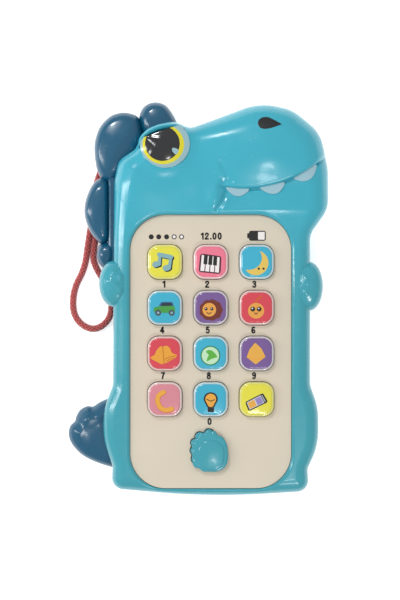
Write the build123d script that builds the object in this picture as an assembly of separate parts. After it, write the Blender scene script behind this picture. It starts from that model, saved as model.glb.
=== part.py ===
from build123d import *
import math
import os

os.makedirs("parts", exist_ok=True)

# A child's toy telephone in the shape of a standing dinosaur, lying on its back.
# Millimetres. X runs across the face, Y from the feet to the head, Z up out of the face.
# The origin is the middle of the flat back face, on the axis of the key panel.

# ---- driving dimensions -------------------------------------------------------------
WALL = 2.0                      # moulded wall
PARTING_Z = 12.5                # where the two shells meet
RIM_Z = 24.5                    # crown of the rim round the key panel
HEAD_Z = 28.5                   # flat top of the head
SHELL_ROUND = 4.0               # rounding of the outer edges of both shells
HEAD_ROUND = 4.4
CHIN_Y = 58.0                   # where the raised head begins, above the panel
LIP_HEIGHT = 1.2                # tongue of the rear shell inside the front shell
LIP_SPLIT = 1.0                 # how far into the wall the tongue starts
LIP_CLEAR = 0.1

PANEL_WIDTH = 64.0
PANEL_LENGTH = 108.6
PANEL_CORNER = 14.0
PANEL_BOTTOM = 21.2
PANEL_TOP = 23.0
LEDGE_BOTTOM = 19.2             # underside of the ledge that carries the panel
WELL_HALF_WIDTH = 27.5          # opening through the ledge, round the keys
WELL_LOW_Y = -50.5
WELL_HIGH_Y = 47.0

EYE_X = -18.3
EYE_Y = 81.6
EYE_RADIUS = 8.8

KEY_PITCH_X = 18.2
KEY_PITCH_Y = 18.15
KEY_TOP_ROW_Y = 35.6
KEY_WIDTH = 13.6
KEY_CORNER = 4.4
KEY_TOP = 25.2
KEY_FLANGE = 0.8                # how far the flange reaches past the cap
KEY_FLANGE_LOW = 19.8
KEY_FLANGE_HIGH = 21.0
HOME_X = -0.9
HOME_Y = -39.2
KEY_GAP = 0.3                   # between a cap and its hole in the panel
KEY_TRAVEL = 1.2
PLUNGER_RADIUS = 3.0
PLUNGER_LOW = 17.5
LABEL_WIDTH = 11.6
LABEL_CORNER = 3.6
LABEL_DEPTH = 0.8
LABEL_TOP = 25.5
LABEL_GAP = 0.05

BOARD_LOW = 14.4
BOARD_HIGH = 16.0
MAT_HIGH = 16.8
COLLAR_HIGH = 18.2
COLLAR_RADIUS = 4.6

SPEAKER_X = 5.0
SPEAKER_Y = 73.0
SPEAKER_RADIUS = 14.0

BATTERY_RADIUS = 5.25           # AAA cells
BATTERY_LENGTH = 44.5
BATTERY_X = 5.6
BATTERY_Z = 7.6
BAY_HALF_WIDTH = 11.6
BAY_LOW_Y = -27.0
BAY_HIGH_Y = 23.0
BAY_WALL = 3.0
BAY_CEILING = 13.2
DOOR_OVERLAP = 1.6              # how far the door covers the bay's walls
DOOR_GAP = 0.25
DOOR_LOW = 0.0
DOOR_HIGH = 2.0
DOOR_SCREW_Y = -34.0
DOOR_TAB_RADIUS = 4.5

SWITCH_Y = -46.0
SWITCH_TRAVEL = 3.0

CREST_LOW = 4.5
CREST_HIGH = 17.5
CREST_ROUND = 2.6
SEAT_GAP = 0.05                 # between the shells and what is clipped to them

STRAP_RADIUS = 1.4
STRAP_Z = 1.6

CASE_SCREWS = [(-33.2, -46.0), (33.2, -46.0), (-33.2, 8.0), (33.2, 8.0),
               (-24.5, 74.5), (34.0, 76.0)]
BOARD_SCREWS = [(-29.5, 40.0), (29.5, 40.0), (-29.5, -25.0), (29.5, -25.0)]

# Each corner of an outline is x, y and the radius that rounds it, anticlockwise.
BODY_OUTLINE = [
    (0.0, -58.1, 300.0),                                             # bottom edge
    (39.2, -55.8, 4.6), (38.7, -46.8, 4.0),                          # right foot
    (43.0, -37.5, 26.0), (43.0, -22.5, 26.0), (39.7, -13.5, 8.0),    # right hip
    (39.7, 46.8, 9.0),                                               # right side
    (47.1, 57.0, 13.0), (47.1, 73.0, 20.0), (43.8, 87.4, 14.0),      # snout
    (32.8, 96.6, 16.0), (19.5, 99.5, 24.0), (-8.4, 88.9, 5.0),       # top of the snout
    (-15.5, 92.3, 9.0), (-27.2, 87.2, 8.0), (-30.0, 80.6, 5.0),      # brow over the eye
    (-36.8, 76.3, 6.0), (-38.5, 68.0, 20.0),                         # nape
    (-39.0, -13.5, 8.0),                                             # left side
    (-42.8, -23.5, 26.0), (-42.8, -35.0, 26.0), (-39.1, -45.9, 4.0),  # left hip
    (-39.6, -54.7, 4.6),                                             # left foot
]
CREST_OUTLINE = [
    (-9.5, 86.0, 2.6), (-17.6, 99.8, 5.5), (-26.6, 99.2, 4.5), (-28.3, 91.3, 1.2),
    (-31.5, 95.4, 4.0), (-42.2, 95.4, 8.0), (-47.3, 84.0, 14.0), (-42.6, 68.6, 1.2),
    (-46.8, 69.2, 2.7), (-51.6, 56.0, 12.0), (-44.3, 42.6, 0.8),
    (-46.2, 39.5, 3.0), (-44.0, 33.6, 3.0), (-33.0, 29.0, 2.7), (-32.0, 70.0, 10.0),
]
TAIL_OUTLINE = [
    (-34.0, -17.4, 2.7), (-44.2, -19.0, 6.0), (-47.6, -22.3, 0.8), (-52.6, -21.6, 3.0),
    (-54.3, -27.7, 0.8), (-58.2, -31.0, 3.4), (-55.6, -39.5, 7.0), (-44.0, -45.3, 12.0),
    (-34.0, -47.2, 2.7),
]
# Strap route, from the anchor down the outer strand, round the loop and back.
STRAP_ROUTE = [
    (-43.4, 77.5, STRAP_Z), (-46.0, 65.0, STRAP_Z), (-47.8, 54.0, STRAP_Z),
    (-49.4, 43.0, STRAP_Z), (-50.6, 33.5, STRAP_Z), (-56.4, 24.5, STRAP_Z),
    (-56.0, 13.0, STRAP_Z), (-48.0, 7.3, STRAP_Z), (-40.2, 13.0, STRAP_Z),
    (-41.0, 23.0, STRAP_Z), (-45.6, 33.5, STRAP_Z), (-46.4, 43.5, STRAP_Z),
    (-44.8, 54.5, STRAP_Z), (-43.0, 65.5, STRAP_Z), (-40.4, 77.5, STRAP_Z),
]


# ---- helpers ------------------------------------------------------------------------
def outline_face(corners):
    """A flat face inside a closed line of straight runs with rounded corners."""
    points = [(x, y) for x, y, _ in corners]
    radii = [radius for _, _, radius in corners]
    return make_face(FilletPolyline(*points, radius=radii, close=True).edges())


def block(face, low, high):
    """A face on the XY plane, raised to fill the heights from low to high."""
    return extrude(Pos(0, 0, low) * face, amount=high - low, dir=(0, 0, 1))


def round_tile(x, y, width, length, corner, low, high):
    """A rounded rectangle centred at x, y, between two heights."""
    return block(Pos(x, y) * RectangleRounded(width, length, corner), low, high)


def slab(x_range, y_range, z_range):
    """A box between two values of x, of y and of z."""
    size = [high - low for low, high in (x_range, y_range, z_range)]
    middle = [(low + high) / 2 for low, high in (x_range, y_range, z_range)]
    return Pos(*middle) * Box(*size)


def post(x, y, radius, low, high):
    """An upright cylinder between two heights."""
    return Pos(x, y, (low + high) / 2) * Cylinder(radius, high - low)


def dome(x, y, radius, rise):
    """A round bump that stands on the parting plane, or hangs from it."""
    low, high = sorted((PARTING_Z, PARTING_Z + rise))
    solid = post(x, y, radius, low, high)
    solid = fillet(top_edges(solid, PARTING_Z + rise), min(radius, abs(rise)) - 0.6)
    return solid


def top_edges(solid, height):
    """The edges that lie flat at one height."""
    return [edge for edge in solid.edges()
            if abs(edge.bounding_box().min.Z - height) < 1e-4
            and abs(edge.bounding_box().max.Z - height) < 1e-4]


def tube(points, radii, radius):
    """A round tube along straight runs joined by arcs."""
    path = FilletPolyline(*points, radius=radii)
    start = path.position_at(0)
    profile = Plane(origin=start, z_dir=path.tangent_at(0)) * Circle(radius)
    return sweep(profile, path=path)


def bend_radii(points, share=0.45):
    """The largest arc that each corner of a route has room for."""
    radii = []
    for before, corner, after in zip(points, points[1:], points[2:]):
        arriving = Vector(*corner) - Vector(*before)
        leaving = Vector(*after) - Vector(*corner)
        half_turn = math.radians(arriving.get_angle(leaving)) / 2
        radii.append(share * min(arriving.length, leaving.length) / math.tan(half_turn))
    return radii


def save(name, solid):
    """One STEP file per sub-part."""
    export_step(solid, f"parts/{name}.step")


BODY = outline_face(BODY_OUTLINE)
HEAD = outline_face([(-38.55, CHIN_Y, 7.0), (47.1, CHIN_Y + 2.0, 8.0)]
                    + [corner for corner in BODY_OUTLINE if corner[1] > 62.0])
ARMS = [(-36.4, 27.2, 8.2), (36.6, 25.4, 8.4)]


def key_places():
    """The twelve keys, row by row: name, x and y."""
    names = ["1", "2", "3", "4", "5", "6", "7", "8", "9", "left", "0", "right"]
    return [(name, (index % 3 - 1) * KEY_PITCH_X, KEY_TOP_ROW_Y - (index // 3) * KEY_PITCH_Y)
            for index, name in enumerate(names)]


# ---- the two shells -----------------------------------------------------------------
def boss(x, y, low, high):
    """A screw post with a blind hole from below."""
    return post(x, y, 3.2, low, high) - post(x, y, 1.1, low, high - 1.5)


def front_shell():
    """The turquoise front half: rim, head, arms, ledge for the panel, posts."""
    torso = block(BODY, PARTING_Z, RIM_Z)
    torso = fillet(top_edges(torso, RIM_Z), SHELL_ROUND)
    head = block(HEAD, PARTING_Z, HEAD_Z)
    head = fillet(top_edges(head, HEAD_Z), HEAD_ROUND)
    shell = torso + head
    for x, y, radius in ARMS:
        shell += dome(x, y, radius, 11.0)
    shell -= block(offset(BODY, -WALL), PARTING_Z, LEDGE_BOTTOM)
    shell -= block(offset(HEAD, -WALL - 0.5), PARTING_Z, HEAD_Z - 2.5)
    shell -= block(offset(BODY, -LIP_SPLIT), PARTING_Z, PARTING_Z + LIP_HEIGHT + LIP_CLEAR)
    shell -= round_tile(0, 0, PANEL_WIDTH, PANEL_LENGTH, PANEL_CORNER, PANEL_BOTTOM, RIM_Z + 1)
    well_middle = (WELL_LOW_Y + WELL_HIGH_Y) / 2
    shell -= round_tile(0, well_middle, 2 * WELL_HALF_WIDTH, WELL_HIGH_Y - WELL_LOW_Y, 9.0,
                        PARTING_Z, PANEL_TOP)
    for x, y in CASE_SCREWS:
        roof = LEDGE_BOTTOM + 0.2 if y < 50 else HEAD_Z - 2.3
        shell += boss(x, y, PARTING_Z + 0.2, roof)
    for x, y in BOARD_SCREWS:
        shell += post(x, y, 2.0, BOARD_HIGH, LEDGE_BOTTOM + 0.2) - post(x, y, 0.8, 10, LEDGE_BOTTOM - 0.6)
    shell -= eye_block(0.05)
    return shell + teeth() - mouth_groove() - nostril()


def rear_shell():
    """The back half: floor, wall with its tongue, battery bay, bosses and openings."""
    shell = block(BODY, 0, PARTING_Z)
    shell = fillet(top_edges(shell, 0), SHELL_ROUND)
    for x, y, radius in ARMS:
        shell += dome(x, y, radius, -7.0)
    shell -= block(offset(BODY, -WALL), WALL, PARTING_Z)
    tongue = offset(BODY, -LIP_SPLIT - LIP_CLEAR) - offset(BODY, -WALL)
    shell += block(tongue, PARTING_Z - 0.5, PARTING_Z + LIP_HEIGHT)
    for x, y in CASE_SCREWS:
        shell += post(x, y, 3.7, 1.0, PARTING_Z - 0.1)
        shell -= post(x, y, 2.9, -1.0, 7.5)
        shell -= post(x, y, 1.5, -1.0, PARTING_Z)
    shell = shell + battery_bay() - battery_opening()
    shell -= speaker_grille()
    shell += post(SPEAKER_X, SPEAKER_Y, SPEAKER_RADIUS + 1.6, 1.5, 5.0) \
        - post(SPEAKER_X, SPEAKER_Y, SPEAKER_RADIUS + 0.2, 1.0, 6.0)
    shell -= switch_recess()
    shell += switch_posts()
    shell -= peg_blocks(0.1)
    return shell - anchor_block(0.05)


def battery_bay():
    """Walls and ceiling round the two cells, and the post for the door's screw."""
    walls = slab((-BAY_HALF_WIDTH - BAY_WALL, BAY_HALF_WIDTH + BAY_WALL),
                 (BAY_LOW_Y - BAY_WALL, BAY_HIGH_Y + BAY_WALL), (1.0, BAY_CEILING + 0.9))
    return walls + post(0, DOOR_SCREW_Y, 6.0, 1.0, 11.5)


def door_face(extra):
    """The battery door's outline: a plate with a round tab for its screw."""
    width = 2 * (BAY_HALF_WIDTH + DOOR_OVERLAP + extra)
    length = BAY_HIGH_Y - BAY_LOW_Y + 2 * (DOOR_OVERLAP + extra)
    plate = Pos(0, (BAY_LOW_Y + BAY_HIGH_Y) / 2) * RectangleRounded(width, length, 3.0)
    neck = Pos(0, DOOR_SCREW_Y / 2 + BAY_LOW_Y / 2) * Rectangle(2 * (DOOR_TAB_RADIUS + extra),
                                                               BAY_LOW_Y - DOOR_SCREW_Y)
    return plate + neck + Pos(0, DOOR_SCREW_Y) * Circle(DOOR_TAB_RADIUS + extra)


def battery_opening():
    """What is cut away for the door, the cells and the door's screw."""
    room = slab((-BAY_HALF_WIDTH, BAY_HALF_WIDTH), (BAY_LOW_Y, BAY_HIGH_Y), (-1.0, BAY_CEILING))
    recess = block(door_face(DOOR_GAP), -1.0, DOOR_HIGH)
    wire_slot = slab((-2.0, 2.0), (BAY_HIGH_Y - 1, BAY_HIGH_Y + BAY_WALL + 1), (9.5, 11.5))
    return room + recess + wire_slot + post(0, DOOR_SCREW_Y, 1.1, 1.0, 10.0)


def speaker_grille():
    """Rings of round holes in front of the loudspeaker."""
    places = [(0.0, 0.0)]
    for count, radius in ((6, 3.6), (12, 7.2)):
        places += [(radius * math.cos(2 * math.pi * step / count),
                    radius * math.sin(2 * math.pi * step / count)) for step in range(count)]
    holes = [post(SPEAKER_X + x, SPEAKER_Y + y, 0.9, -1.0, 4.0) for x, y in places]
    return Part() + holes


def switch_recess():
    """A finger recess in the back and the slot that the slider's knob runs in."""
    recess = round_tile(0, SWITCH_Y, 16.0, 8.0, 3.0, -1.0, 1.0)
    return recess + slab((-4.0, 4.0), (SWITCH_Y - 1.7, SWITCH_Y + 1.7), (-1.0, WALL + 0.5))


def switch_posts():
    """Two short posts that the switch body sits on."""
    return [slab((x - 1.2, x + 1.2), (SWITCH_Y - 3.0, SWITCH_Y + 3.0), (WALL - 0.2, 3.8))
            for x in (-9.5, 9.5)]


# ---- relief of the face -------------------------------------------------------------
def eye_block(gap):
    """The round bulging eye, set into a pocket in the head."""
    return post(EYE_X, EYE_Y, EYE_RADIUS + gap, HEAD_Z - 1.4, HEAD_Z + 0.9 + gap)


def eye_inlay():
    eye = eye_block(0)
    return fillet(top_edges(eye, HEAD_Z + 0.9), 0.8)


def mouth_groove():
    """The line of the mouth, rising towards the corner of the snout."""
    line = FilletPolyline((5.9, 66.1), (17.0, 64.9), (31.0, 68.6), (43.5, 76.4), radius=[14.0, 20.0])
    return block(trace(line, 1.0), HEAD_Z - 0.7, HEAD_Z + 1)


def teeth():
    """Three low teeth under the mouth line."""
    shapes = [[(6.6, 65.4), (10.6, 62.0), (15.2, 64.9)],
              [(19.6, 65.3), (24.8, 62.6), (29.6, 67.6)],
              [(33.2, 69.4), (37.4, 67.6), (41.4, 74.0)]]
    return [block(make_face(Polyline(*points, close=True).edges()), HEAD_Z - 1.2, HEAD_Z + 0.4)
            for points in shapes]


def nostril():
    tip = make_face(Polyline((20.8, 93.6), (20.8, 89.0), (28.0, 90.8), close=True).edges())
    return block(tip + Pos(21.1, 91.3) * Circle(2.4), HEAD_Z - 0.8, HEAD_Z + 1)


# ---- clipped-on spine and tail ------------------------------------------------------
def peg_blocks(gap):
    """The pegs of the crest (two) and of the tail (one), which the shells clamp."""
    pegs = [(-43.0, -34.5, 56.0, 64.0), (-43.0, -34.5, 37.5, 43.0), (-46.0, -38.0, -34.0, -26.0)]
    return Part() + [slab((x0, x1 + gap), (y0 - gap, y1 + gap),
                          (9.5 - gap, PARTING_Z + (LIP_HEIGHT + 0.1 if gap else 0)))
                     for x0, x1, y0, y1 in pegs]


def spine_piece(corners, low, high):
    """A puffy slab outside the shells, with rounded edges."""
    solid = block(outline_face(corners), low, high)
    solid = fillet(top_edges(solid, low) + top_edges(solid, high), CREST_ROUND)
    solid -= block(offset(BODY, SEAT_GAP), low - 1, high + 1)
    for x, y, radius in ARMS:
        solid -= dome(x, y, radius + SEAT_GAP, 11.0)
        solid -= dome(x, y, radius + SEAT_GAP, -7.0)
    return max(solid.solids(), key=lambda piece: piece.volume)


def back_crest():
    pegs = [peg for peg in peg_blocks(0).solids() if peg.center().Y > 0]
    return spine_piece(CREST_OUTLINE, CREST_LOW, CREST_HIGH) + pegs


def tail():
    pegs = [peg for peg in peg_blocks(0).solids() if peg.center().Y < 0]
    return spine_piece(TAIL_OUTLINE, CREST_LOW, CREST_HIGH - 1.0) + pegs


# ---- key panel and keys -------------------------------------------------------------
def home_face(extra=0.0):
    """A footprint: a rounded sole with a row of small toes round its upper left."""
    sole = Pos(-1.2, -39.2) * RectangleRounded(12.6 + 2 * extra, 13.0 + 2 * extra, 5.6 + extra)
    toes = [Pos(x, y) * Circle(radius + extra)
            for x, y, radius in ((-0.7, -32.7, 2.0), (-4.3, -33.8, 1.9), (-6.2, -36.2, 1.7),
                                 (-6.5, -39.2, 1.6), (-6.0, -42.6, 1.7))]
    return sole + toes


def face_panel():
    """The cream plate that lies in the rim, with a hole for each key."""
    panel = round_tile(0, 0, PANEL_WIDTH - 0.2, PANEL_LENGTH - 0.2, PANEL_CORNER - 0.1,
                       PANEL_BOTTOM, PANEL_TOP)
    hole = KEY_WIDTH + 2 * KEY_GAP
    for _, x, y in key_places():
        panel -= round_tile(x, y, hole, hole, KEY_CORNER + KEY_GAP, PANEL_BOTTOM - 1, PANEL_TOP + 1)
    return panel - block(home_face(KEY_GAP), PANEL_BOTTOM - 1, PANEL_TOP + 1)


def key_cap(x, y):
    """A milky cap with a pocket for its label, a flange under the panel and a plunger."""
    cap = round_tile(x, y, KEY_WIDTH, KEY_WIDTH, KEY_CORNER, KEY_FLANGE_LOW, KEY_TOP)
    cap = fillet(top_edges(cap, KEY_TOP), 0.7)
    pocket = LABEL_WIDTH + 2 * LABEL_GAP
    cap -= round_tile(x, y, pocket, pocket, LABEL_CORNER + LABEL_GAP, KEY_TOP - LABEL_DEPTH, KEY_TOP + 1)
    width = KEY_WIDTH + 2 * KEY_FLANGE
    cap += round_tile(x, y, width, width, KEY_CORNER + KEY_FLANGE, KEY_FLANGE_LOW, KEY_FLANGE_HIGH)
    return cap + post(x, y, PLUNGER_RADIUS, PLUNGER_LOW, KEY_FLANGE_LOW)


def key_label(x, y):
    """The coloured picture tile that is pressed into a cap."""
    low = KEY_TOP - LABEL_DEPTH
    tile = round_tile(x, y, LABEL_WIDTH, LABEL_WIDTH, LABEL_CORNER, low, LABEL_TOP)
    return fillet(top_edges(tile, LABEL_TOP), 0.25)


def home_key():
    """The turquoise footprint key with a raised pad."""
    cap = block(home_face(), KEY_FLANGE_LOW, KEY_TOP - 0.4)
    cap += round_tile(-0.6, -39.6, 9.6, 10.8, 4.2, KEY_TOP - 0.6, KEY_TOP)
    cap += block(home_face(KEY_FLANGE), KEY_FLANGE_LOW, KEY_FLANGE_HIGH)
    return cap + post(HOME_X, HOME_Y, PLUNGER_RADIUS, PLUNGER_LOW, KEY_FLANGE_LOW)


# ---- electronics --------------------------------------------------------------------
def plunger_places():
    return [(x, y) for _, x, y in key_places()] + [(HOME_X, HOME_Y)]


def keypad_mat():
    """The silicone mat: a sheet with a collar round each plunger."""
    mat = slab((-27.0, 27.0), (-47.5, 45.0), (BOARD_HIGH, MAT_HIGH))
    for x, y in plunger_places():
        mat += post(x, y, COLLAR_RADIUS, MAT_HIGH - 0.2, COLLAR_HIGH)
        mat -= post(x, y, PLUNGER_RADIUS + 0.3, BOARD_HIGH - 1, COLLAR_HIGH + 1)
    return mat


def circuit_board():
    """The printed board, notched round the case screws."""
    board = slab((-31.5, 31.5), (-48.5, 46.0), (BOARD_LOW, BOARD_HIGH))
    for x, y in CASE_SCREWS:
        board -= post(x, y, 4.2, BOARD_LOW - 1, BOARD_HIGH + 1)
    for x, y in BOARD_SCREWS:
        board -= post(x, y, 1.2, BOARD_LOW - 1, BOARD_HIGH + 1)
    return board


def sound_chip():
    """The black blob of resin over the bare chip, under the board."""
    chip = post(-16.0, 36.0, 5.0, BOARD_LOW - 1.5, BOARD_LOW)
    return fillet(top_edges(chip, BOARD_LOW - 1.5), 1.1)


def screw(x, y, head_low, head_height, head_radius, shank_radius, tip):
    """A screw with its head at the bottom, a cross-shaped recess and a tapered tip."""
    body = post(x, y, head_radius, head_low, head_low + head_height)
    body += post(x, y, shank_radius, head_low + head_height, tip - shank_radius)
    body += Pos(x, y, tip - shank_radius / 2) * Cone(shank_radius, 0.15, shank_radius)
    arm = head_radius * 0.6
    for half_x, half_y in ((arm, 0.3), (0.3, arm)):
        body -= slab((x - half_x, x + half_x), (y - half_y, y + half_y),
                     (head_low - 1, head_low + head_height * 0.5))
    return body


def case_screws():
    return Compound(children=[screw(x, y, 5.6, 1.9, 2.7, 1.05, 17.0) for x, y in CASE_SCREWS])


def board_screws():
    return Compound(children=[screw(x, y, BOARD_LOW - 1.3, 1.3, 1.9, 0.75, 18.4)
                              for x, y in BOARD_SCREWS])


def door_screw():
    return screw(0, DOOR_SCREW_Y, 0.2, 0.9, 2.3, 1.05, 9.0)


def speaker_frame():
    """The pressed basket of the loudspeaker, open towards the grille."""
    ring = post(SPEAKER_X, SPEAKER_Y, SPEAKER_RADIUS, 2.2, 3.2)
    ring += post(SPEAKER_X, SPEAKER_Y, 12.0, 3.0, 5.8)
    return ring - post(SPEAKER_X, SPEAKER_Y, 11.2, 2.0, 5.0)


def speaker_cone():
    """The paper cone, a shallow dish glued inside the basket."""
    dish = Pos(SPEAKER_X, SPEAKER_Y, 3.6) * (Cone(11.0, 4.0, 1.6) - Pos(0, 0, -0.4) * Cone(11.0, 4.0, 1.6))
    return dish + post(SPEAKER_X, SPEAKER_Y, 4.2, 4.1, 4.6)


def speaker_magnet():
    return fillet(top_edges(post(SPEAKER_X, SPEAKER_Y, 6.5, 5.8, 9.6), 9.6), 0.5)


def wires(ends, radius=0.6):
    """Insulated leads, each along straight runs with rounded bends."""
    return Compound(children=[tube(points, bend_radii(points), radius) for points in ends])


def speaker_wires():
    return wires([[(x, SPEAKER_Y - 11.0, 6.4), (x, SPEAKER_Y - 16.0, 7.0),
                   (x, 52.0, 9.0), (x, 44.0, 13.0), (x, 40.5, BOARD_LOW - 0.6)]
                  for x in (SPEAKER_X - 2.0, SPEAKER_X + 2.0)])


def battery_wires():
    return wires([[(x, BAY_HIGH_Y, 10.5), (x, BAY_HIGH_Y + 6.0, 10.5),
                   (x * 1.8, BAY_HIGH_Y + 11.0, 12.3), (x * 1.8, BAY_HIGH_Y + 16.0, BOARD_LOW - 0.6)]
                  for x in (-1.2, 1.2)])


def power_switch():
    """The slide switch's box, on its two posts above the slider."""
    return slab((-11.0, 11.0), (SWITCH_Y - 3.0, SWITCH_Y + 3.0), (3.8, 4.8)) \
        + slab((-6.5, 6.5), (SWITCH_Y - 2.8, SWITCH_Y + 2.8), (4.8, 9.0))


def power_slider():
    """The plate and ribbed knob that the thumb pushes, at the off end of its travel."""
    x = -SWITCH_TRAVEL / 2
    slider = slab((x - 5.6, x + 5.6), (SWITCH_Y - 2.6, SWITCH_Y + 2.6), (2.3, 3.4))
    slider += slab((x - 2.0, x + 2.0), (SWITCH_Y - 1.4, SWITCH_Y + 1.4), (0.3, 2.4))
    for rib in (-1.0, 0.0, 1.0):
        slider -= slab((x + rib - 0.2, x + rib + 0.2), (SWITCH_Y - 2, SWITCH_Y + 2), (0.2, 0.6))
    return slider


# ---- power supply -------------------------------------------------------------------
def battery(x, low_y, nub_up):
    """An AAA cell that lies along Y, with its nub at one end."""
    nub = 1.0
    body_low = low_y if nub_up else low_y + nub
    body = Pos(x, body_low + (BATTERY_LENGTH - nub) / 2, BATTERY_Z) * Rot(90, 0, 0) \
        * Cylinder(BATTERY_RADIUS, BATTERY_LENGTH - nub)
    body = fillet([edge for edge in body.edges() if edge.geom_type == GeomType.CIRCLE], 0.5)
    nub_y = body_low + BATTERY_LENGTH - nub if nub_up else low_y
    return body + Pos(x, nub_y + nub / 2, BATTERY_Z) * Rot(90, 0, 0) * Cylinder(1.9, nub)


def contact_springs():
    """Two bent leaf springs, one at the flat end of each cell."""
    leaf = [(0.0, -4.4), (0.4, -4.4), (0.4, 2.6), (3.4, 0.4), (2.6, -2.0), (3.0, -2.2),
            (3.9, 0.5), (0.7, 3.2), (0.0, 3.2)]
    profile = make_face(Polyline(*leaf, close=True).edges())
    solid = extrude(Plane.YZ * profile, amount=3.0, both=True)
    lower = Pos(-BATTERY_X, BAY_LOW_Y + 0.05, BATTERY_Z) * solid
    upper = Pos(BATTERY_X, BAY_HIGH_Y - 0.05, BATTERY_Z) * Rot(0, 0, 180) * solid
    return Compound(children=[lower, upper])


def contact_plates():
    """Two flat contacts, one at the nub of each cell."""
    upper = slab((-BATTERY_X - 4.0, -BATTERY_X + 4.0), (BAY_HIGH_Y - 0.45, BAY_HIGH_Y - 0.05),
                 (BATTERY_Z - 4.0, BATTERY_Z + 4.0))
    lower = slab((BATTERY_X - 4.0, BATTERY_X + 4.0), (BAY_LOW_Y + 0.05, BAY_LOW_Y + 0.45),
                 (BATTERY_Z - 4.0, BATTERY_Z + 4.0))
    return Compound(children=[upper, lower])


def battery_door():
    """The cover over the cells, with a sunk screw tab and grip grooves."""
    door = block(door_face(0), DOOR_LOW, DOOR_HIGH)
    door -= post(0, DOOR_SCREW_Y, 2.6, DOOR_LOW - 1, DOOR_LOW + 1.1)
    door -= post(0, DOOR_SCREW_Y, 1.3, DOOR_LOW - 1, DOOR_HIGH + 1)
    for step in range(5):
        y = BAY_HIGH_Y - 3.0 - 1.6 * step
        door -= slab((-6.0, 6.0), (y - 0.35, y + 0.35), (DOOR_LOW - 1, DOOR_LOW + 0.4))
    return door


# ---- wrist strap --------------------------------------------------------------------
def anchor_block(gap):
    """The plastic block in the shell's edge that holds both ends of the strap."""
    return slab((-45.6, -28.0 + gap), (77.5 - gap, 81.0 + gap), (0.4 - gap, 4.4 + gap))


def strap():
    """The braided cord, as a plain tube along its route."""
    radii = bend_radii(STRAP_ROUTE)
    solid = tube(STRAP_ROUTE, radii, STRAP_RADIUS)
    path = FilletPolyline(*STRAP_ROUTE, radius=radii)
    print("strap length", round(path.length, 1), "radii", [round(radius, 1) for radius in radii])
    print("strap volume", round(solid.volume, 1), "section x length",
          round(math.pi * STRAP_RADIUS ** 2 * path.length, 1))
    return solid


# ---- write everything ---------------------------------------------------------------
save("rear_shell", rear_shell())
save("front_shell", front_shell())
save("back_crest", back_crest())
save("tail", tail())
save("eye_inlay", eye_inlay())
save("face_panel", face_panel())
for key_name, key_x, key_y in key_places():
    save(f"key_{key_name}", key_cap(key_x, key_y))
    save(f"label_{key_name}", key_label(key_x, key_y))
save("home_key", home_key())
save("keypad_mat", keypad_mat())
save("circuit_board", circuit_board())
save("sound_chip", sound_chip())
save("case_screws", case_screws())
save("board_screws", board_screws())
save("speaker_frame", speaker_frame())
save("speaker_cone", speaker_cone())
save("speaker_magnet", speaker_magnet())
save("speaker_wires", speaker_wires())
save("battery_wires", battery_wires())
save("power_switch", power_switch())
save("power_slider", power_slider())
save("battery_1", battery(-BATTERY_X, BAY_HIGH_Y - 0.5 - BATTERY_LENGTH, True))
save("battery_2", battery(BATTERY_X, BAY_LOW_Y + 0.5, False))
save("contact_springs", contact_springs())
save("contact_plates", contact_plates())
save("battery_door", battery_door())
save("door_screw", door_screw())
save("strap_anchor", anchor_block(0))
save("strap", strap())
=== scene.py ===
"""A child's toy telephone in the shape of a dinosaur: the moulded shells, printed keys,
eye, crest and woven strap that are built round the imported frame."""

import math

import bpy
import numpy as np
from bpy.props import FloatProperty, FloatVectorProperty, PointerProperty
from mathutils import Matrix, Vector


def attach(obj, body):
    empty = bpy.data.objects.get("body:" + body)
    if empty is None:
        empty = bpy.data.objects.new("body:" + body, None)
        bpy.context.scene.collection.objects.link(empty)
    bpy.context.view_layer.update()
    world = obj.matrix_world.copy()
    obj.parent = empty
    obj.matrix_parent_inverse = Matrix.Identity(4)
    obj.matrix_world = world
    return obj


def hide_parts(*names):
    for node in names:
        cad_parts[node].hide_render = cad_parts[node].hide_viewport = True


bl_info = {
    "name": "Dinosaur Toy Telephone",
    "version": (1, 0, 0),
    "blender": (4, 5, 0),
    "location": "View3D > Sidebar > Toy Telephone",
    "description": "Builds the visible pieces of a dinosaur toy telephone round its packed frame",
    "category": "Object",
}

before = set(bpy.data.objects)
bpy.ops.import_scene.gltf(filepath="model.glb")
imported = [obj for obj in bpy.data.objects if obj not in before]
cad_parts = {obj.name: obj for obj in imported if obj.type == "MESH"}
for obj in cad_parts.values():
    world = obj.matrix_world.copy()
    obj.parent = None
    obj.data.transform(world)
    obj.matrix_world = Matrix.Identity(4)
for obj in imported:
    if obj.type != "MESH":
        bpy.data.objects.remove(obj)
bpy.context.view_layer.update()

MM = 0.001                      # one millimetre in scene units
HANDSET = "handset"             # the body that every fixed piece rides on

# ---- sizes shared by several pieces, in millimetres ------------------------------------
PARTING_Z = 12.5                # where the two shells meet
RIM_Z = 24.5                    # crown of the rim round the key panel
PANEL_TOP = 23.0
PANEL_SIZE = (64.0, 108.6)
PANEL_CORNER = 14.0
PANEL_GAP = 0.05                # between the panel and the front shell's hole for it
KEY_PITCH = (18.2, 18.15)
KEY_TOP_ROW_Y = 35.6
TILE_TOP = 25.5
TILE_WIDTH = 12.4               # the printed tile on a key, over its rounded edge
TILE_CORNER = 3.9
LAYER = 0.02                    # thickness of one printed layer
EYE_CENTRE = (-18.1, 82.05)
EYE_RADII = (9.8, 9.4)

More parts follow.
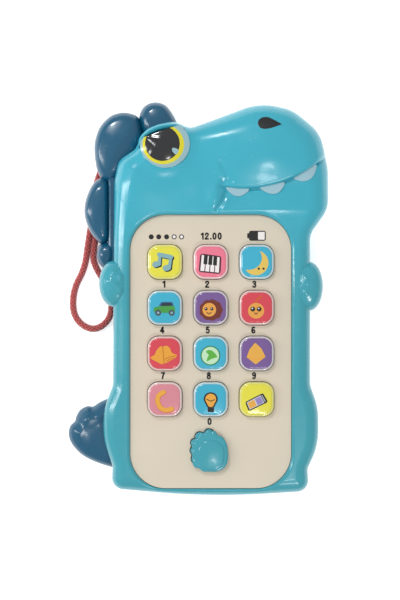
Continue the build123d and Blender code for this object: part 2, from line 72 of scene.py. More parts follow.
# Each corner of an outline is x, y and the radius that rounds it, anticlockwise.
BODY_OUTLINE = [
    (0.0, -58.1, 300.0),                                             # bottom edge
    (39.2, -55.8, 4.6), (38.7, -46.8, 4.0),                          # right foot
    (43.0, -37.5, 26.0), (43.0, -22.5, 26.0), (39.7, -13.5, 8.0),    # right hip
    (39.7, 46.8, 9.0),                                               # right side
    (47.1, 57.0, 13.0), (47.1, 73.0, 20.0), (43.8, 87.4, 14.0),      # snout
    (32.8, 96.6, 16.0), (19.5, 99.5, 24.0), (-8.4, 88.9, 5.0),       # top of the snout
    (-15.5, 92.3, 9.0), (-27.2, 87.2, 8.0), (-30.0, 80.6, 5.0),      # brow over the eye
    (-36.8, 76.3, 6.0), (-38.5, 68.0, 20.0),                         # nape
    (-39.0, -13.5, 8.0),                                             # left side
    (-42.8, -23.5, 26.0), (-42.8, -35.0, 26.0), (-39.1, -45.9, 4.0),  # left hip
    (-39.6, -54.7, 4.6),                                             # left foot
]


# ---- helpers: colours and shader nodes -------------------------------------------------
def linear(hex_colour):
    """An sRGB hex colour as a linear RGBA value."""
    parts = np.array([int(hex_colour[i:i + 2], 16) for i in (1, 3, 5)]) / 255.0
    low = parts / 12.92
    high = ((parts + 0.055) / 1.055) ** 2.4
    return (*np.where(parts <= 0.04045, low, high).tolist(), 1.0)


# A colour mix names its sockets by number.
MIX_SHARE, MIX_LOW, MIX_HIGH, MIX_RESULT = 0, 6, 7, 2


def add_node(tree, kind, inputs=None, settings=None):
    """One shader node. Each input is a constant or the socket that feeds it, and settings
    are the node's own properties."""
    node = tree.nodes.new(kind)
    for name, value in (settings or {}).items():
        setattr(node, name, value)
    for name, value in (inputs or {}).items():
        if isinstance(value, bpy.types.NodeSocket):
            tree.links.new(value, node.inputs[name])
        else:
            node.inputs[name].default_value = value
    return node


def new_material(name, shader_values):
    """A material with a Principled shader, and the tree, shader and object coordinates."""
    material = bpy.data.materials.new(name)
    material.use_nodes = True
    tree = material.node_tree
    tree.nodes.clear()
    shader = add_node(tree, "ShaderNodeBsdfPrincipled", shader_values)
    add_node(tree, "ShaderNodeOutputMaterial", {"Surface": shader.outputs["BSDF"]})
    place = add_node(tree, "ShaderNodeTexCoord").outputs["Object"]
    return material, tree, shader, place


def noise(tree, place, scale, detail):
    """A noise from 0 to 1, of about scale lumps in a metre."""
    return add_node(tree, "ShaderNodeTexNoise", {"Vector": place, "Scale": scale,
                                                 "Detail": detail}).outputs["Fac"]


def mixed(tree, share, low, high):
    """A colour that runs from low, where the share is 0, to high, where it is 1."""
    return add_node(tree, "ShaderNodeMix", {MIX_SHARE: share, MIX_LOW: low, MIX_HIGH: high},
                    {"data_type": "RGBA"}).outputs[MIX_RESULT]


def shaded(tree, share, colour, low, high):
    """The colour, from low to high times as bright as the share rises."""
    colour = np.array(colour[:3])
    return mixed(tree, share, (*(colour * low), 1.0), (*np.minimum(colour * high, 1.0), 1.0))


def vary_roughness(tree, shader, share, low, high, start=0.0, end=1.0):
    """Feed the shader a roughness of low up to a share of start, and of high from end."""
    dull = add_node(tree, "ShaderNodeMapRange", {"Value": share, "From Min": start,
                                                 "From Max": end, "To Min": low, "To Max": high})
    tree.links.new(dull.outputs["Result"], shader.inputs["Roughness"])


def raise_skin(tree, shader, height, strength, depth):
    """Feed the shader a relief from a height of 0 to 1, of a depth in millimetres."""
    raised = add_node(tree, "ShaderNodeBump", {"Height": height, "Strength": strength,
                                               "Distance": depth * MM})
    tree.links.new(raised.outputs["Normal"], shader.inputs["Normal"])


# ---- helpers: outlines -----------------------------------------------------------------
def even_steps(points, count, closed=True):
    """The same line with its points evenly spaced along its length."""
    if closed:
        points = np.vstack([points, points[:1]])
    lengths = np.linalg.norm(np.diff(points, axis=0), axis=1)
    along = np.concatenate([[0.0], np.cumsum(lengths)])
    wanted = np.linspace(0.0, along[-1], count, endpoint=not closed)
    return np.stack([np.interp(wanted, along, axis) for axis in points.T], axis=1)


def unit(steps):
    """Each step drawn to a length of 1."""
    return steps / np.maximum(np.linalg.norm(steps, axis=1), 1e-9)[:, None]


def left_of(along):
    """Each direction turned a quarter round to the left."""
    return np.stack([-along[:, 1], along[:, 0]], axis=1)


def anticlockwise(loop):
    """The loop, turned round if twice its area comes out below 0."""
    loop = np.asarray(loop, float)
    x, y = loop.T
    return loop[::-1] if (x * np.roll(y, -1) - np.roll(x, -1) * y).sum() < 0 else loop


def at_height(loop, z):
    """The points of a loop, all at one height."""
    return np.column_stack([loop, np.full(len(loop), z)])


def rounded_loop(corners, count, arc_points=24):
    """An evenly spaced closed line of straight runs. At each corner a circular arc, tangent
    to both runs, replaces the corner: it starts radius times the tangent of half the turn
    before it, and turns evenly about a centre that is one radius to the side."""
    data = np.array(corners, float)
    here, radius = data[:, :2], data[:, 2]
    before = unit(here - np.roll(here, 1, axis=0))
    after = unit(np.roll(here, -1, axis=0) - here)
    cross = before[:, 0] * after[:, 1] - before[:, 1] * after[:, 0]
    turn = np.arctan2(cross, (before * after).sum(axis=1))
    start = here - before * (radius * np.tan(np.abs(turn) / 2))[:, None]
    centre = start + left_of(before) * (np.sign(turn) * radius)[:, None]
    angle = turn[:, None] * np.linspace(0.0, 1.0, arc_points)[None, :]
    spoke = (start - centre)[:, None, :]
    x = spoke[..., 0] * np.cos(angle) - spoke[..., 1] * np.sin(angle)
    y = spoke[..., 0] * np.sin(angle) + spoke[..., 1] * np.cos(angle)
    arcs = centre[:, None, :] + np.stack([x, y], axis=-1)
    return even_steps(arcs.reshape(-1, 2), count)


def round_box(centre, half, radius, count):
    """A rectangle with round corners, from half its size."""
    return rounded_loop([(centre[0] + a * half[0], centre[1] + b * half[1], radius)
                         for a, b in ((1, -1), (1, 1), (-1, 1), (-1, -1))], count)


def ring(centre, radii, count=64, tilt=0.0):
    """A closed ellipse, anticlockwise, turned by tilt degrees."""
    angle = np.linspace(0.0, 2 * math.pi, count, endpoint=False)
    x, y = radii[0] * np.cos(angle), radii[1] * np.sin(angle)
    turn = math.radians(tilt)
    return np.stack([centre[0] + x * math.cos(turn) - y * math.sin(turn),
                     centre[1] + x * math.sin(turn) + y * math.cos(turn)], axis=1)


def ribbon(points, width, count=32):
    """The closed outline of a stroke of even width with round ends: the line's own offset
    on each side, and a half circle round each end."""
    line = even_steps(np.array(points, float), count, closed=False)
    along = unit(np.gradient(line, axis=0))
    side = left_of(along) * width / 2
    sweep = np.linspace(-math.pi / 2, math.pi / 2, 10)[1:-1, None]
    tip = line[-1] + along[-1] * np.cos(sweep) * width / 2 + side[-1] * np.sin(sweep)
    heel = line[0] - along[0] * np.cos(sweep) * width / 2 - side[0] * np.sin(sweep)
    return np.vstack([line - side, tip, (line + side)[::-1], heel])


def curved(points, count=48, closed=True):
    """A smooth line through the points: in each span the Catmull-Rom cubic, whose slope at
    a point is half the step from the point before to the point after."""
    data = np.array(points, float)
    if closed:
        data = np.vstack([data[-1:], data, data[:2]])
    else:
        data = np.vstack([2 * data[0] - data[1], data, 2 * data[-1] - data[-2]])
    a, b, c, d = (data[i:len(data) - 3 + i, None, :] for i in range(4))
    t = np.linspace(0.0, 1.0, 12, endpoint=False)[None, :, None]
    line = 0.5 * (2 * b + (c - a) * t + (2 * a - 5 * b + 4 * c - d) * t ** 2
                  + (3 * b - a - 3 * c + d) * t ** 3).reshape(-1, 2)
    if not closed:
        line = np.vstack([line, data[-2:-1]])
    return even_steps(line, count, closed)


def smooth_step(low, high, value):
    """0 below low, 1 above high, and an S curve between: 3t squared minus 2t cubed."""
    t = np.clip((value - low) / (high - low), 0.0, 1.0)
    return t * t * (3 - 2 * t)


def bump(x, y, centre, spread, height):
    """A bell of the given height, whose spread is one standard deviation along X and Y."""
    return height * np.exp(-0.5 * (((x - centre[0]) / spread[0]) ** 2
                                   + ((y - centre[1]) / spread[1]) ** 2))


def line_distance(points, line, closed=False, chunk=4000):
    """The distance from each point to a line of short runs, and which side it is on, as the
    sign of the cross product with the nearest run (positive on the left)."""
    ends = np.vstack([line, line[:1]]) if closed else line
    start, run = ends[:-1], np.diff(ends, axis=0)
    squared = np.maximum((run ** 2).sum(axis=1), 1e-12)
    distance, side = np.empty(len(points)), np.empty(len(points))
    for first in range(0, len(points), chunk):
        offset = points[first:first + chunk, None, :] - start[None]
        share = np.clip((offset * run).sum(axis=2) / squared, 0.0, 1.0)
        gap = offset - share[..., None] * run
        away = (gap ** 2).sum(axis=2)
        nearest = away.argmin(axis=1)
        rows = np.arange(len(nearest))
        near, way = gap[rows, nearest], run[nearest]
        distance[first:first + chunk] = np.sqrt(away[rows, nearest])
        side[first:first + chunk] = np.sign(way[:, 0] * near[:, 1] - way[:, 1] * near[:, 0])
    return distance, side


# ---- helpers: meshes -------------------------------------------------------------------
def mesh_piece(name, parts, materials, body=HANDSET, replaces=(), smooth=40.0):
    """One object from parts, each of them points in millimetres, faces, and the number of
    the part's material. It rides on the body, and takes its finish from the slot."""
    points, faces, numbers, first = [], [], [], 0
    for part_points, part_faces, number in parts:
        points.append(np.asarray(part_points, float))
        faces += [tuple(int(i) + first for i in face) for face in part_faces]
        numbers += [number] * len(part_faces)
        first += len(part_points)
    mesh = bpy.data.meshes.new(name)
    mesh.from_pydata(np.vstack(points) * MM, [], faces)
    mesh.polygons.foreach_set("material_index", np.array(numbers, np.int32))
    for material in materials:
        mesh.materials.append(material)
    mesh.shade_smooth()
    mesh.set_sharp_from_angle(angle=math.radians(smooth))
    mesh.update()
    piece = bpy.data.objects.new(name, mesh)
    bpy.context.collection.objects.link(piece)
    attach(piece, body)
    if replaces:
        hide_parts(*replaces)
    return piece


def grid_faces(rows, columns, wrap_rows=False, wrap_columns=True):
    """The quads of a grid whose points are numbered row by row. A wrapped direction joins
    its last line to its first."""
    row = np.arange(rows if wrap_rows else rows - 1)
    column = np.arange(columns if wrap_columns else columns - 1)
    r, c = np.meshgrid(row, column, indexing="ij")
    r_next, c_next = (r + 1) % rows, (c + 1) % columns
    quads = np.stack([r * columns + c, r * columns + c_next,
                      r_next * columns + c_next, r_next * columns + c], axis=-1)
    return quads.reshape(-1, 4)


def capped_faces(rows, count):
    """The quads of a stack of rings, and a face that closes each end."""
    return [tuple(face) for face in grid_faces(rows, count)] \
        + [tuple(range(count))[::-1], tuple(range((rows - 1) * count, rows * count))]


def slab(loop, low, high, edge=0.2, steps=4, material=0):
    """A closed slab with a rounded upper edge. Its outline is moved inwards by
    edge times (1 - cos a) as it rises by edge times sin a, for a from 0 to 90 degrees."""
    loop = anticlockwise(loop)
    inward = left_of(unit(np.roll(loop, -1, axis=0) - np.roll(loop, 1, axis=0)))
    rings = [at_height(loop, low)]
    for angle in np.linspace(0.0, math.pi / 2, steps) if edge else np.zeros(1):
        moved = loop + inward * edge * (1 - math.cos(angle))
        rings.append(at_height(moved, high - edge + edge * math.sin(angle)))
    return np.vstack(rings), capped_faces(len(rings), len(loop)), material


def pebble(loop, low, high, round_edge, crown=0.0, rows=14, material=0, belly=0.6,
           relief=None):
    """A closed pillow whose widest line is an outline, at a share belly of its height. Above
    it, a point drawn a share s of the way to the middle stands lower than the rim's height
    by the square root of 1 - (1 - depth)^2, where depth is its distance inside over the
    rounding, at most 1, and a crown adds s times (2 - s). Below, a quarter circle turns in.
    A relief is a height to add at x and y: it comes in with the square of the depth, which
    is then measured from the outline itself."""
    loop = anticlockwise(loop)
    middle = loop.mean(axis=0)
    reach = np.linalg.norm(loop - middle, axis=1).mean()
    waist = low + (high - low) * belly
    turned = min(1.0, round_edge / reach)
    below = np.linspace(math.pi / 2, 0.0, 7)[:-1]
    rings = [(turned * 0.6 * (1 - math.cos(a)), waist - (waist - low) * math.sin(a))
             for a in below]
    shares = np.concatenate([(1 - np.cos(np.linspace(0, math.pi / 2, rows))) * turned,
                             np.linspace(turned, 0.97, rows)[1:]])
    for s in shares:
        depth = min(s * reach / round_edge, 1.0)
        rise = (high - waist) * math.sqrt(max(0.0, 1 - (1 - depth) ** 2))
        rings.append((s, waist + rise + crown * s * (2 - s)))
    points = [at_height(loop + (middle - loop) * s, z) for s, z in rings]
    if relief:
        for spots, (s, _) in list(zip(points, rings))[len(below):]:
            inside, _ = line_distance(spots[:, :2], loop, closed=True)
            depth = np.minimum(inside / round_edge, 1.0)
            spots[:, 2] = waist + (high - waist) * np.sqrt(1 - (1 - depth) ** 2) \
                + crown * s * (2 - s) + relief(*spots[:, :2].T) * depth ** 2
    return np.vstack(points), capped_faces(len(rings), len(loop)), material


# ---- materials -------------------------------------------------------------------------
def moulded_plastic(name, colour, roughness=0.22, peel=0.012, coat=0.25, ior=1.53,
                    shade=0.05, glow=0.0, low_colour=None):
    """Injection-moulded styrenic plastic: an even colour that drifts very slightly over
    centimetres, a faint orange-peel skin about 1.5 mm across, and rubbed duller patches.
    A low_colour takes over from 6 cm to 2 cm above the middle of the face."""
    values = {"IOR": ior, "Coat Weight": coat, "Coat Roughness": 0.08}
    if glow:
        values.update({"Subsurface Weight": glow, "Subsurface Scale": 0.002,
                       "Subsurface Radius": (1.0, 0.8, 0.7)})
    material, tree, shader, place = new_material(name, values)
    tone = shaded(tree, noise(tree, place, scale=45.0, detail=2.0), colour,
                  1 - shade, 1 + shade)
    if low_colour is not None:
        height = add_node(tree, "ShaderNodeSeparateXYZ", {"Vector": place}).outputs["Y"]
        share = add_node(tree, "ShaderNodeMapRange",
                         {"Value": height, "From Min": 0.02, "From Max": 0.06},
                         {"interpolation_type": "SMOOTHSTEP"}).outputs["Result"]
        tone = mixed(tree, share, (*low_colour[:3], 1.0), tone)
    tree.links.new(tone, shader.inputs["Base Color"])
    vary_roughness(tree, shader, noise(tree, place, scale=260.0, detail=4.0),
                   roughness * 0.85, roughness * 1.35, start=0.35, end=0.75)
    raise_skin(tree, shader, noise(tree, place, scale=650.0, detail=1.0), 0.25, peel)
    return material


def printed_ink(name, colour, roughness=0.38):
    """Pad-printed ink: a thin even film with a fine pinhole grain, slightly duller than the
    plastic round it."""
    material, tree, shader, place = new_material(name, {"IOR": 1.48})
    grain = noise(tree, place, scale=1800.0, detail=2.0)
    tree.links.new(shaded(tree, grain, colour, 0.93, 1.07), shader.inputs["Base Color"])
    vary_roughness(tree, shader, grain, roughness * 0.8, roughness * 1.2)
    return material


def plated_metal(name, colour, roughness, brushed=(1.0, 1.0, 1.0)):
    """Plated or brushed metal: bright, with a roughness that varies along the brushing."""
    material, tree, shader, place = new_material(name, {"Metallic": 1.0})
    stretch = add_node(tree, "ShaderNodeMapping", {"Vector": place, "Scale": brushed})
    lines = noise(tree, stretch.outputs["Vector"], scale=900.0, detail=3.0)
    tree.links.new(shaded(tree, lines, colour, 0.85, 1.1), shader.inputs["Base Color"])
    vary_roughness(tree, shader, lines, roughness * 0.6, roughness * 1.4)
    return material


def woven_polyester(name, colour, dark):
    """Braided polyester cord: matt, with a soft sheen, and threads 1 mm across whose
    hollows are painted darker as shade. The threads follow the cord through its own UV map,
    whose U runs round it and V along it in millimetres."""
    material, tree, shader, _ = new_material(
        name, {"Roughness": 0.75, "Sheen Weight": 0.5, "Sheen Roughness": 0.5, "IOR": 1.5})
    uv = add_node(tree, "ShaderNodeTexCoord").outputs["UV"]
    threads = []
    for tilt in (0.75, -0.75):
        turned = add_node(tree, "ShaderNodeMapping",
                          {"Vector": uv, "Rotation": (0.0, 0.0, tilt)}).outputs["Vector"]
        threads.append(add_node(tree, "ShaderNodeTexWave",
                                {"Vector": turned, "Scale": 0.29, "Distortion": 1.6,
                                 "Detail": 2.0, "Detail Scale": 2.0},
                                {"wave_type": "BANDS"}).outputs["Fac"])
    weave_relief_and_shade = add_node(tree, "ShaderNodeMath", {0: threads[0], 1: threads[1]},
                     {"operation": "MAXIMUM"}).outputs["Value"]
    # Painted shade: the dark red takes over in the hollows between the threads, where the weave
    # dips.
    tree.links.new(mixed(tree, weave_relief_and_shade, dark, colour), shader.inputs["Base Color"])
    raise_skin(tree, shader, weave_relief_and_shade, 0.7, 0.45)
    return material


def circuit_laminate(name):
    """Green solder mask on glass-epoxy board: copper tracks 0.8 mm wide show through it as
    paler lines."""
    material, tree, shader, place = new_material(name, {"Roughness": 0.32, "IOR": 1.52})
    tracks = add_node(tree, "ShaderNodeTexBrick", {
        "Vector": place, "Scale": 90.0, "Mortar Size": 0.07, "Color1": linear("#1F6B3C"),
        "Color2": linear("#1B6136"), "Mortar": linear("#3F8F58")})
    tree.links.new(tracks.outputs["Color"], shader.inputs["Base Color"])
    raise_skin(tree, shader, tracks.outputs["Fac"], 0.3, 0.03)
    return material


# Ink colours of the pictures on the keys.
INKS = {
    "note_grey": "#7FA9AE", "night": "#22303A", "plum": "#4A1F30", "white": "#E9E4E2",
    "moon": "#DBBB58", "leaf": "#3F9440", "window": "#2A5A8C", "tyre": "#414C57",
    "mane": "#6B2A1C", "face": "#DD9B45", "tuft": "#C9532F", "bell": "#DF9A32",
    "bell_line": "#B5651E", "ring_green": "#1F7A4A", "pale_green": "#B9DDB8",
    "arrow": "#56A83A", "kite": "#DDA545", "bulb": "#E0A03A", "black": "#1B1B1C",
    "glass": "#CBD0D8", "lilac": "#8D7FB8",
}
LABEL_COLOURS = {
    "label_yellow": "#DDD63F", "label_pink": "#E5748C", "label_blue": "#35A9C6",
    "label_purple": "#71538F", "label_red": "#CF3F4D", "label_rose": "#D1848F",
}
KEY_LABELS = {
    "1": "label_yellow", "2": "label_pink", "3": "label_blue", "4": "label_blue",
    "5": "label_purple", "6": "label_red", "7": "label_red", "8": "label_blue",
    "9": "label_purple", "left": "label_rose", "0": "label_blue", "right": "label_yellow",
}
FINISHES = {}


def make_finishes(colours):
    """Every material of the object, by the name of its finish."""
    FINISHES["shell"] = moulded_plastic("gloss_abs_turquoise", colours.shell,
                                        low_colour=colours.shell_low)
    FINISHES["spine"] = moulded_plastic("gloss_abs_slate_blue", colours.spine)
    FINISHES["panel"] = moulded_plastic("satin_abs_cream", colours.panel, 0.42, 0.02, 0.0)
    # The dark red #5E1418 is painted shade for the hollows between the strap's threads.
    FINISHES["strap"] = woven_polyester("braided_polyester_red", colours.strap,
                                        linear("#5E1418"))
    FINISHES["tooth"] = printed_ink("printed_tooth_ice", linear("#97BCC8"), 0.25)
    FINISHES["eye_white"] = moulded_plastic("gloss_print_eye_white", linear("#93B7BF"), 0.12)
    FINISHES["eye_yellow"] = printed_ink("gloss_print_eye_yellow", linear("#D9CF2F"), 0.15)
    FINISHES["pupil"] = moulded_plastic("lacquered_pupil_black", linear("#17181B"), 0.14,
                                        0.05, 0.6)
    FINISHES["nostril"] = printed_ink("printed_nostril_black", linear("#1E1F22"), 0.3)
    for ink, colour in INKS.items():
        FINISHES[ink] = printed_ink("printed_" + ink, linear(colour))
    for label, colour in LABEL_COLOURS.items():
        tone = np.array(linear(colour))
        milk = np.array(linear("#E4E2DA"))
        FINISHES[label] = moulded_plastic("gloss_acrylic_" + label[6:], tone, 0.12, 0.008, 0.5)
        share = 0.75 if label == "label_yellow" else 0.36
        FINISHES["cap_" + label[6:]] = moulded_plastic(
            "milky_polystyrene_" + label[6:], milk + (tone - milk) * share, 0.15, 0.01,
            0.4, 1.59, glow=0.2)


def finish_frame_nodes():
    """Gives each CAD node that stays the material of the real thing."""
    silicone = moulded_plastic("moulded_silicone_grey", linear("#B9BDBF"), 0.55, 0.02, 0.0, 1.41)
    board = circuit_laminate("solder_masked_board")
    resin = moulded_plastic("epoxy_blob_black", linear("#141416"), 0.3, 0.03, 0.0)
    zinc = plated_metal("zinc_plated_screw_steel", linear("#B9BCC0"), 0.32)
    nickel = plated_metal("nickel_plated_spring", linear("#C9C5BC"), 0.22, (1.0, 6.0, 1.0))
    steel = plated_metal("pressed_speaker_steel", linear("#A9ABAF"), 0.38)
    paper = moulded_plastic("pressed_speaker_paper", linear("#3A3836"), 0.85, 0.08, 0.0)
    wire = moulded_plastic("pvc_wire_red", linear("#B3262A"), 0.4, 0.01, 0.0)
    black = moulded_plastic("satin_abs_black", linear("#1C1D20"), 0.38, 0.02, 0.0)
    wrap = printed_ink("printed_cell_wrap", linear("#2D6B4F"), 0.3)
    chosen = {
        "rear_shell": FINISHES["shell"], "battery_door": FINISHES["shell"],
        "home_key": FINISHES["shell"], "face_panel": FINISHES["panel"],
        "keypad_mat": silicone, "circuit_board": board, "sound_chip": resin,
        "case_screws": zinc, "board_screws": zinc, "door_screw": zinc,
        "speaker_frame": steel, "speaker_magnet": zinc, "speaker_cone": paper,
        "speaker_wires": wire, "battery_wires": wire, "power_switch": black,
        "power_slider": black, "battery_1": wrap, "battery_2": wrap,
        "contact_springs": nickel, "contact_plates": nickel, "strap_anchor": FINISHES["shell"],
    }
    for key, label in KEY_LABELS.items():
        chosen["key_" + key] = FINISHES["cap_" + label[6:]]
        chosen["label_" + key] = FINISHES[label]
    for node, material in chosen.items():
        for material_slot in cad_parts[node].material_slots:
            material_slot.material = material


# ---- the front shell's surface -----------------------------------------------------------
BODY_LOOP = rounded_loop(BODY_OUTLINE, 800)
MOUTH = curved([(-1.5, 65.8), (2.0, 65.8), (5.9, 65.3), (10.8, 64.5), (17.2, 64.6),
                (24.3, 65.9), (29.7, 67.5), (35.0, 69.9), (41.6, 74.1), (45.0, 77.3),
                (48.5, 81.2)], 70, closed=False)
CHEEK_CREASE = curved([(6.4, 63.6), (5.4, 61.0), (4.2, 58.4), (2.4, 56.4)], 12, closed=False)
SNEER_CREASE = curved([(4.2, 74.6), (5.6, 71.8), (7.0, 69.6), (8.2, 67.4)], 12, closed=False)
ARMS = {"left": ((-38.2, 27.0), (6.4, 9.3)), "right": ((38.8, 26.0), (6.1, 9.9))}
FINGERS = {
    "left": [(-38.6, 31.1), (-39.9, 28.0), (-38.0, 26.5), (-35.8, 24.4), (-35.6, 29.4)],
    "right": [(35.8, 30.4), (37.7, 28.4), (35.3, 25.6), (37.4, 23.3)],
}


def panel_distance(x, y, grow=PANEL_GAP):
    """How far a point is outside the key panel's hole, a rectangle with round corners: the
    length of the part of |point| minus (half size minus radius) above 0, less the radius."""
    half_x, half_y = PANEL_SIZE[0] / 2 + grow, PANEL_SIZE[1] / 2 + grow
    radius = PANEL_CORNER + grow
    over_x, over_y = np.abs(x) - (half_x - radius), np.abs(y) - (half_y - radius)
    outer = np.hypot(np.maximum(over_x, 0), np.maximum(over_y, 0))
    return outer + np.minimum(np.maximum(over_x, over_y), 0) - radius


def quarter_round(distance, radius):
    """How far a rounded edge lies below its crown: radius times 1 minus the square root of
    1 minus the square of (1 - distance / radius)."""
    t = 1 - np.clip(distance / radius, 0.0, 1.0)
    return radius * (1 - np.sqrt(np.maximum(1 - t * t, 0.0)))


# Bells that add to the shell's crown: middle, spread along X and Y, and height.
CROWN_BELLS = {
    "muzzle": ((23.0, 80.5), (12.5, 7.6), 2.4),
    "back of the jaw": ((-27.0, 66.0), (9.0, 8.0), 0.7),
    "cheek": ((-7.8, 68.2), (3.4, 3.4), 0.35),
    "cheek under the corner of the mouth": ((1.6, 61.0), (2.6, 3.6), 1.1),
    "chin": ((28.0, 60.6), (9.0, 2.6), 0.8),
    "pit in the corner of the mouth": ((5.4, 67.0), (1.3, 1.1), -1.0),
    "left shoulder": ((-37.4, 27.0), (4.4, 7.4), 0.8),
    "right shoulder": ((38.0, 26.0), (4.4, 7.8), 0.8),
    "hollow behind the muzzle": ((-4.0, 77.0), (7.5, 9.0), -0.55),
}
CREASES = ((CHEEK_CREASE, 0.85, 1.0), (SNEER_CREASE, 0.5, 1.1))     # line, depth, width
LIP_ROUNDING = 1.7
POCKET_DEPTH = 2.5              # under the eye, so that the eye's dome stands clear of it
GROOVE_DEPTH = 0.6              # along the foot of the lip


def shell_height(points, lip_step=1.5):
    """The height of the front shell over points of the face, in millimetres. It is a crown
    that rises on to the head, with bells for the muzzle, cheek and brow, less a rounding
    towards the outline, a smaller one at the panel, the lip's rounded step and creases."""
    x, y = points.T
    inside, _ = line_distance(points, BODY_LOOP, closed=True)
    to_eye = np.hypot(x - EYE_CENTRE[0], y - EYE_CENTRE[1])
    on_head = smooth_step(44.0, 76.0, y)
    crown = RIM_Z + 2.3 * on_head
    for centre, spread, height in CROWN_BELLS.values():
        crown += bump(x, y, centre, spread, height)
    crown += 0.5 * (1 - smooth_step(9.6, 14.0, to_eye))              # brow
    edge = 5.4 + 4.2 * on_head * (1 - np.exp(-(to_eye / 15.0) ** 2))
    height = crown - quarter_round(inside, edge)
    height -= quarter_round(panel_distance(x, y), 1.5)

    reach, side = line_distance(points, MOUTH)
    signed = reach * side
    fade = smooth_step(1.0, 8.0, x) * smooth_step(56.0, 61.0, y)
    upper = quarter_round(np.maximum(signed, 0.0) * 1.1, LIP_ROUNDING) / LIP_ROUNDING
    height -= lip_step * fade * np.where(signed > 0, upper, 1.0)
    groove = np.exp(-((signed + 0.35) / 0.45) ** 2)
    height -= GROOVE_DEPTH * fade * groove
    to_rim = np.hypot((x - EYE_CENTRE[0]) / EYE_RADII[0], (y - EYE_CENTRE[1]) / EYE_RADII[1])
    height -= POCKET_DEPTH * (1 - smooth_step(0.88, 0.96, to_rim))
    for crease, depth, width in CREASES:
        away, _ = line_distance(points, crease)
        height -= depth * np.exp(-(away / width) ** 2)
    return height


def crossing_share(outer, inner, line):
    """Where the straight way from each outer point to its inner point crosses a line, as a
    share of that way, or -1 if it doesn't: the two runs' cross products, divided."""
    way = (inner - outer)[:, None, :]
    run = np.diff(line, axis=0)[None]
    gap = line[None, :-1] - outer[:, None, :]
    bottom = way[..., 0] * run[..., 1] - way[..., 1] * run[..., 0]
    share = (gap[..., 0] * run[..., 1] - gap[..., 1] * run[..., 0]) / bottom
    along = (gap[..., 0] * way[..., 1] - gap[..., 1] * way[..., 0]) / bottom
    good = (along >= 0) & (along <= 1) & (share > 0) & (share < 1)
    return np.where(good, share, -1.0).max(axis=1)


PANEL_SEAT_Z = 21.2             # how far down the wall of the panel's hole goes
UNDERSIDE_Z = 17.0              # of the band, between that wall and the outer one


def front_shell_part(across=46):
    """The shell as a closed band. Its columns go round the outline, each with a partner on
    the panel's hole, and its rows go up the wall, across the top with their spacing drawn
    close, as a cosine, at the outline, at the mouth line and at the panel, and back below."""
    hole = round_box((0.0, 0.0), [side / 2 + PANEL_GAP for side in PANEL_SIZE],
                     PANEL_CORNER + PANEL_GAP, 1200)
    partners = [((0, -58.0), (0, -54.3)), ((38.5, -54.5), (28.0, -50.2)),
                ((42.6, -30), (32, -30)), ((39.7, 38), (32, 37)), ((45.8, 58), (30.0, 47.6)),
                ((46.5, 74), (25.6, 52.0)), ((36, 94), (17.0, 54.3)), ((-8.4, 89.5), (-6, 54.3)),
                ((-30, 81), (-20.0, 54.2)), ((-38.3, 66), (-28.6, 49.4)),
                ((-38.8, 40), (-32, 38)), ((-42.3, -29), (-32, -30)),
                ((-38.8, -54), (-28.0, -50.2))]
    outer_at = [np.linalg.norm(BODY_LOOP - a, axis=1).argmin() for a, _ in partners]
    inner_at = [np.linalg.norm(hole - b, axis=1).argmin() for _, b in partners]
    shift_out, shift_in = outer_at[0], inner_at[0]
    outer = np.roll(BODY_LOOP, -shift_out, axis=0)
    hole = np.roll(hole, -shift_in, axis=0)
    knots_out = [(i - shift_out) % len(outer) for i in outer_at] + [len(outer)]
    knots_in = [(i - shift_in) % len(hole) for i in inner_at] + [len(hole)]
    place = np.interp(np.arange(len(outer)), knots_out, knots_in)
    looped = np.vstack([hole, hole[:1]])
    inner = np.stack([np.interp(place, np.arange(len(looped)), axis) for axis in looped.T], 1)

    nape = np.vstack([[(-45.0, 66.0)], MOUTH])
    share = crossing_share(outer, inner, nape)
    found = np.flatnonzero(share > 0)
    share = np.where(share > 0, share, np.interp(
        np.arange(len(outer)), found, share[found], left=0.25, right=0.25))
    torso = smooth_step(50.0, 60.0, outer[:, 1])
    share = np.clip(share * torso + 0.5 * (1 - torso), 0.1, 0.9)
    half = (1 - np.cos(np.linspace(0, math.pi, across))) / 2
    first = share[:, None] * half[None, :]
    second = share[:, None] + (1 - share[:, None]) * half[None, 1:]
    shares = np.concatenate([first, second], axis=1)
    spots = outer[:, None, :] + (inner - outer)[:, None, :] * shares[..., None]
    top = shell_height(spots.reshape(-1, 2)).reshape(spots.shape[:2])

    middle = outer + (inner - outer) * 0.4
    inset = outer + (inner - outer) * 0.006
    rows = [(inset, PARTING_Z + 0.02), (outer, PARTING_Z + 0.3), (outer, PARTING_Z + 3.0)]
    points = [at_height(flat, z) for flat, z in rows]
    points += [np.column_stack([spots[:, k], top[:, k]]) for k in range(top.shape[1])]
    points += [at_height(inner, PANEL_SEAT_Z), at_height(middle, UNDERSIDE_Z)]
    faces = grid_faces(len(points), len(outer), wrap_rows=True)
    return np.vstack(points), faces, 0


ARM_WIDEST_Z = 16.0
ARM_RISE = 10.1                 # from the widest line to the top
ARM_TUCK = 3.2                  # how far the arm goes on below its widest line
ARM_TUCK_SHARE = 0.2            # how far it turns in there
FINGER_SPREAD = (1.0, 0.95)
FINGER_HEIGHT = 0.6


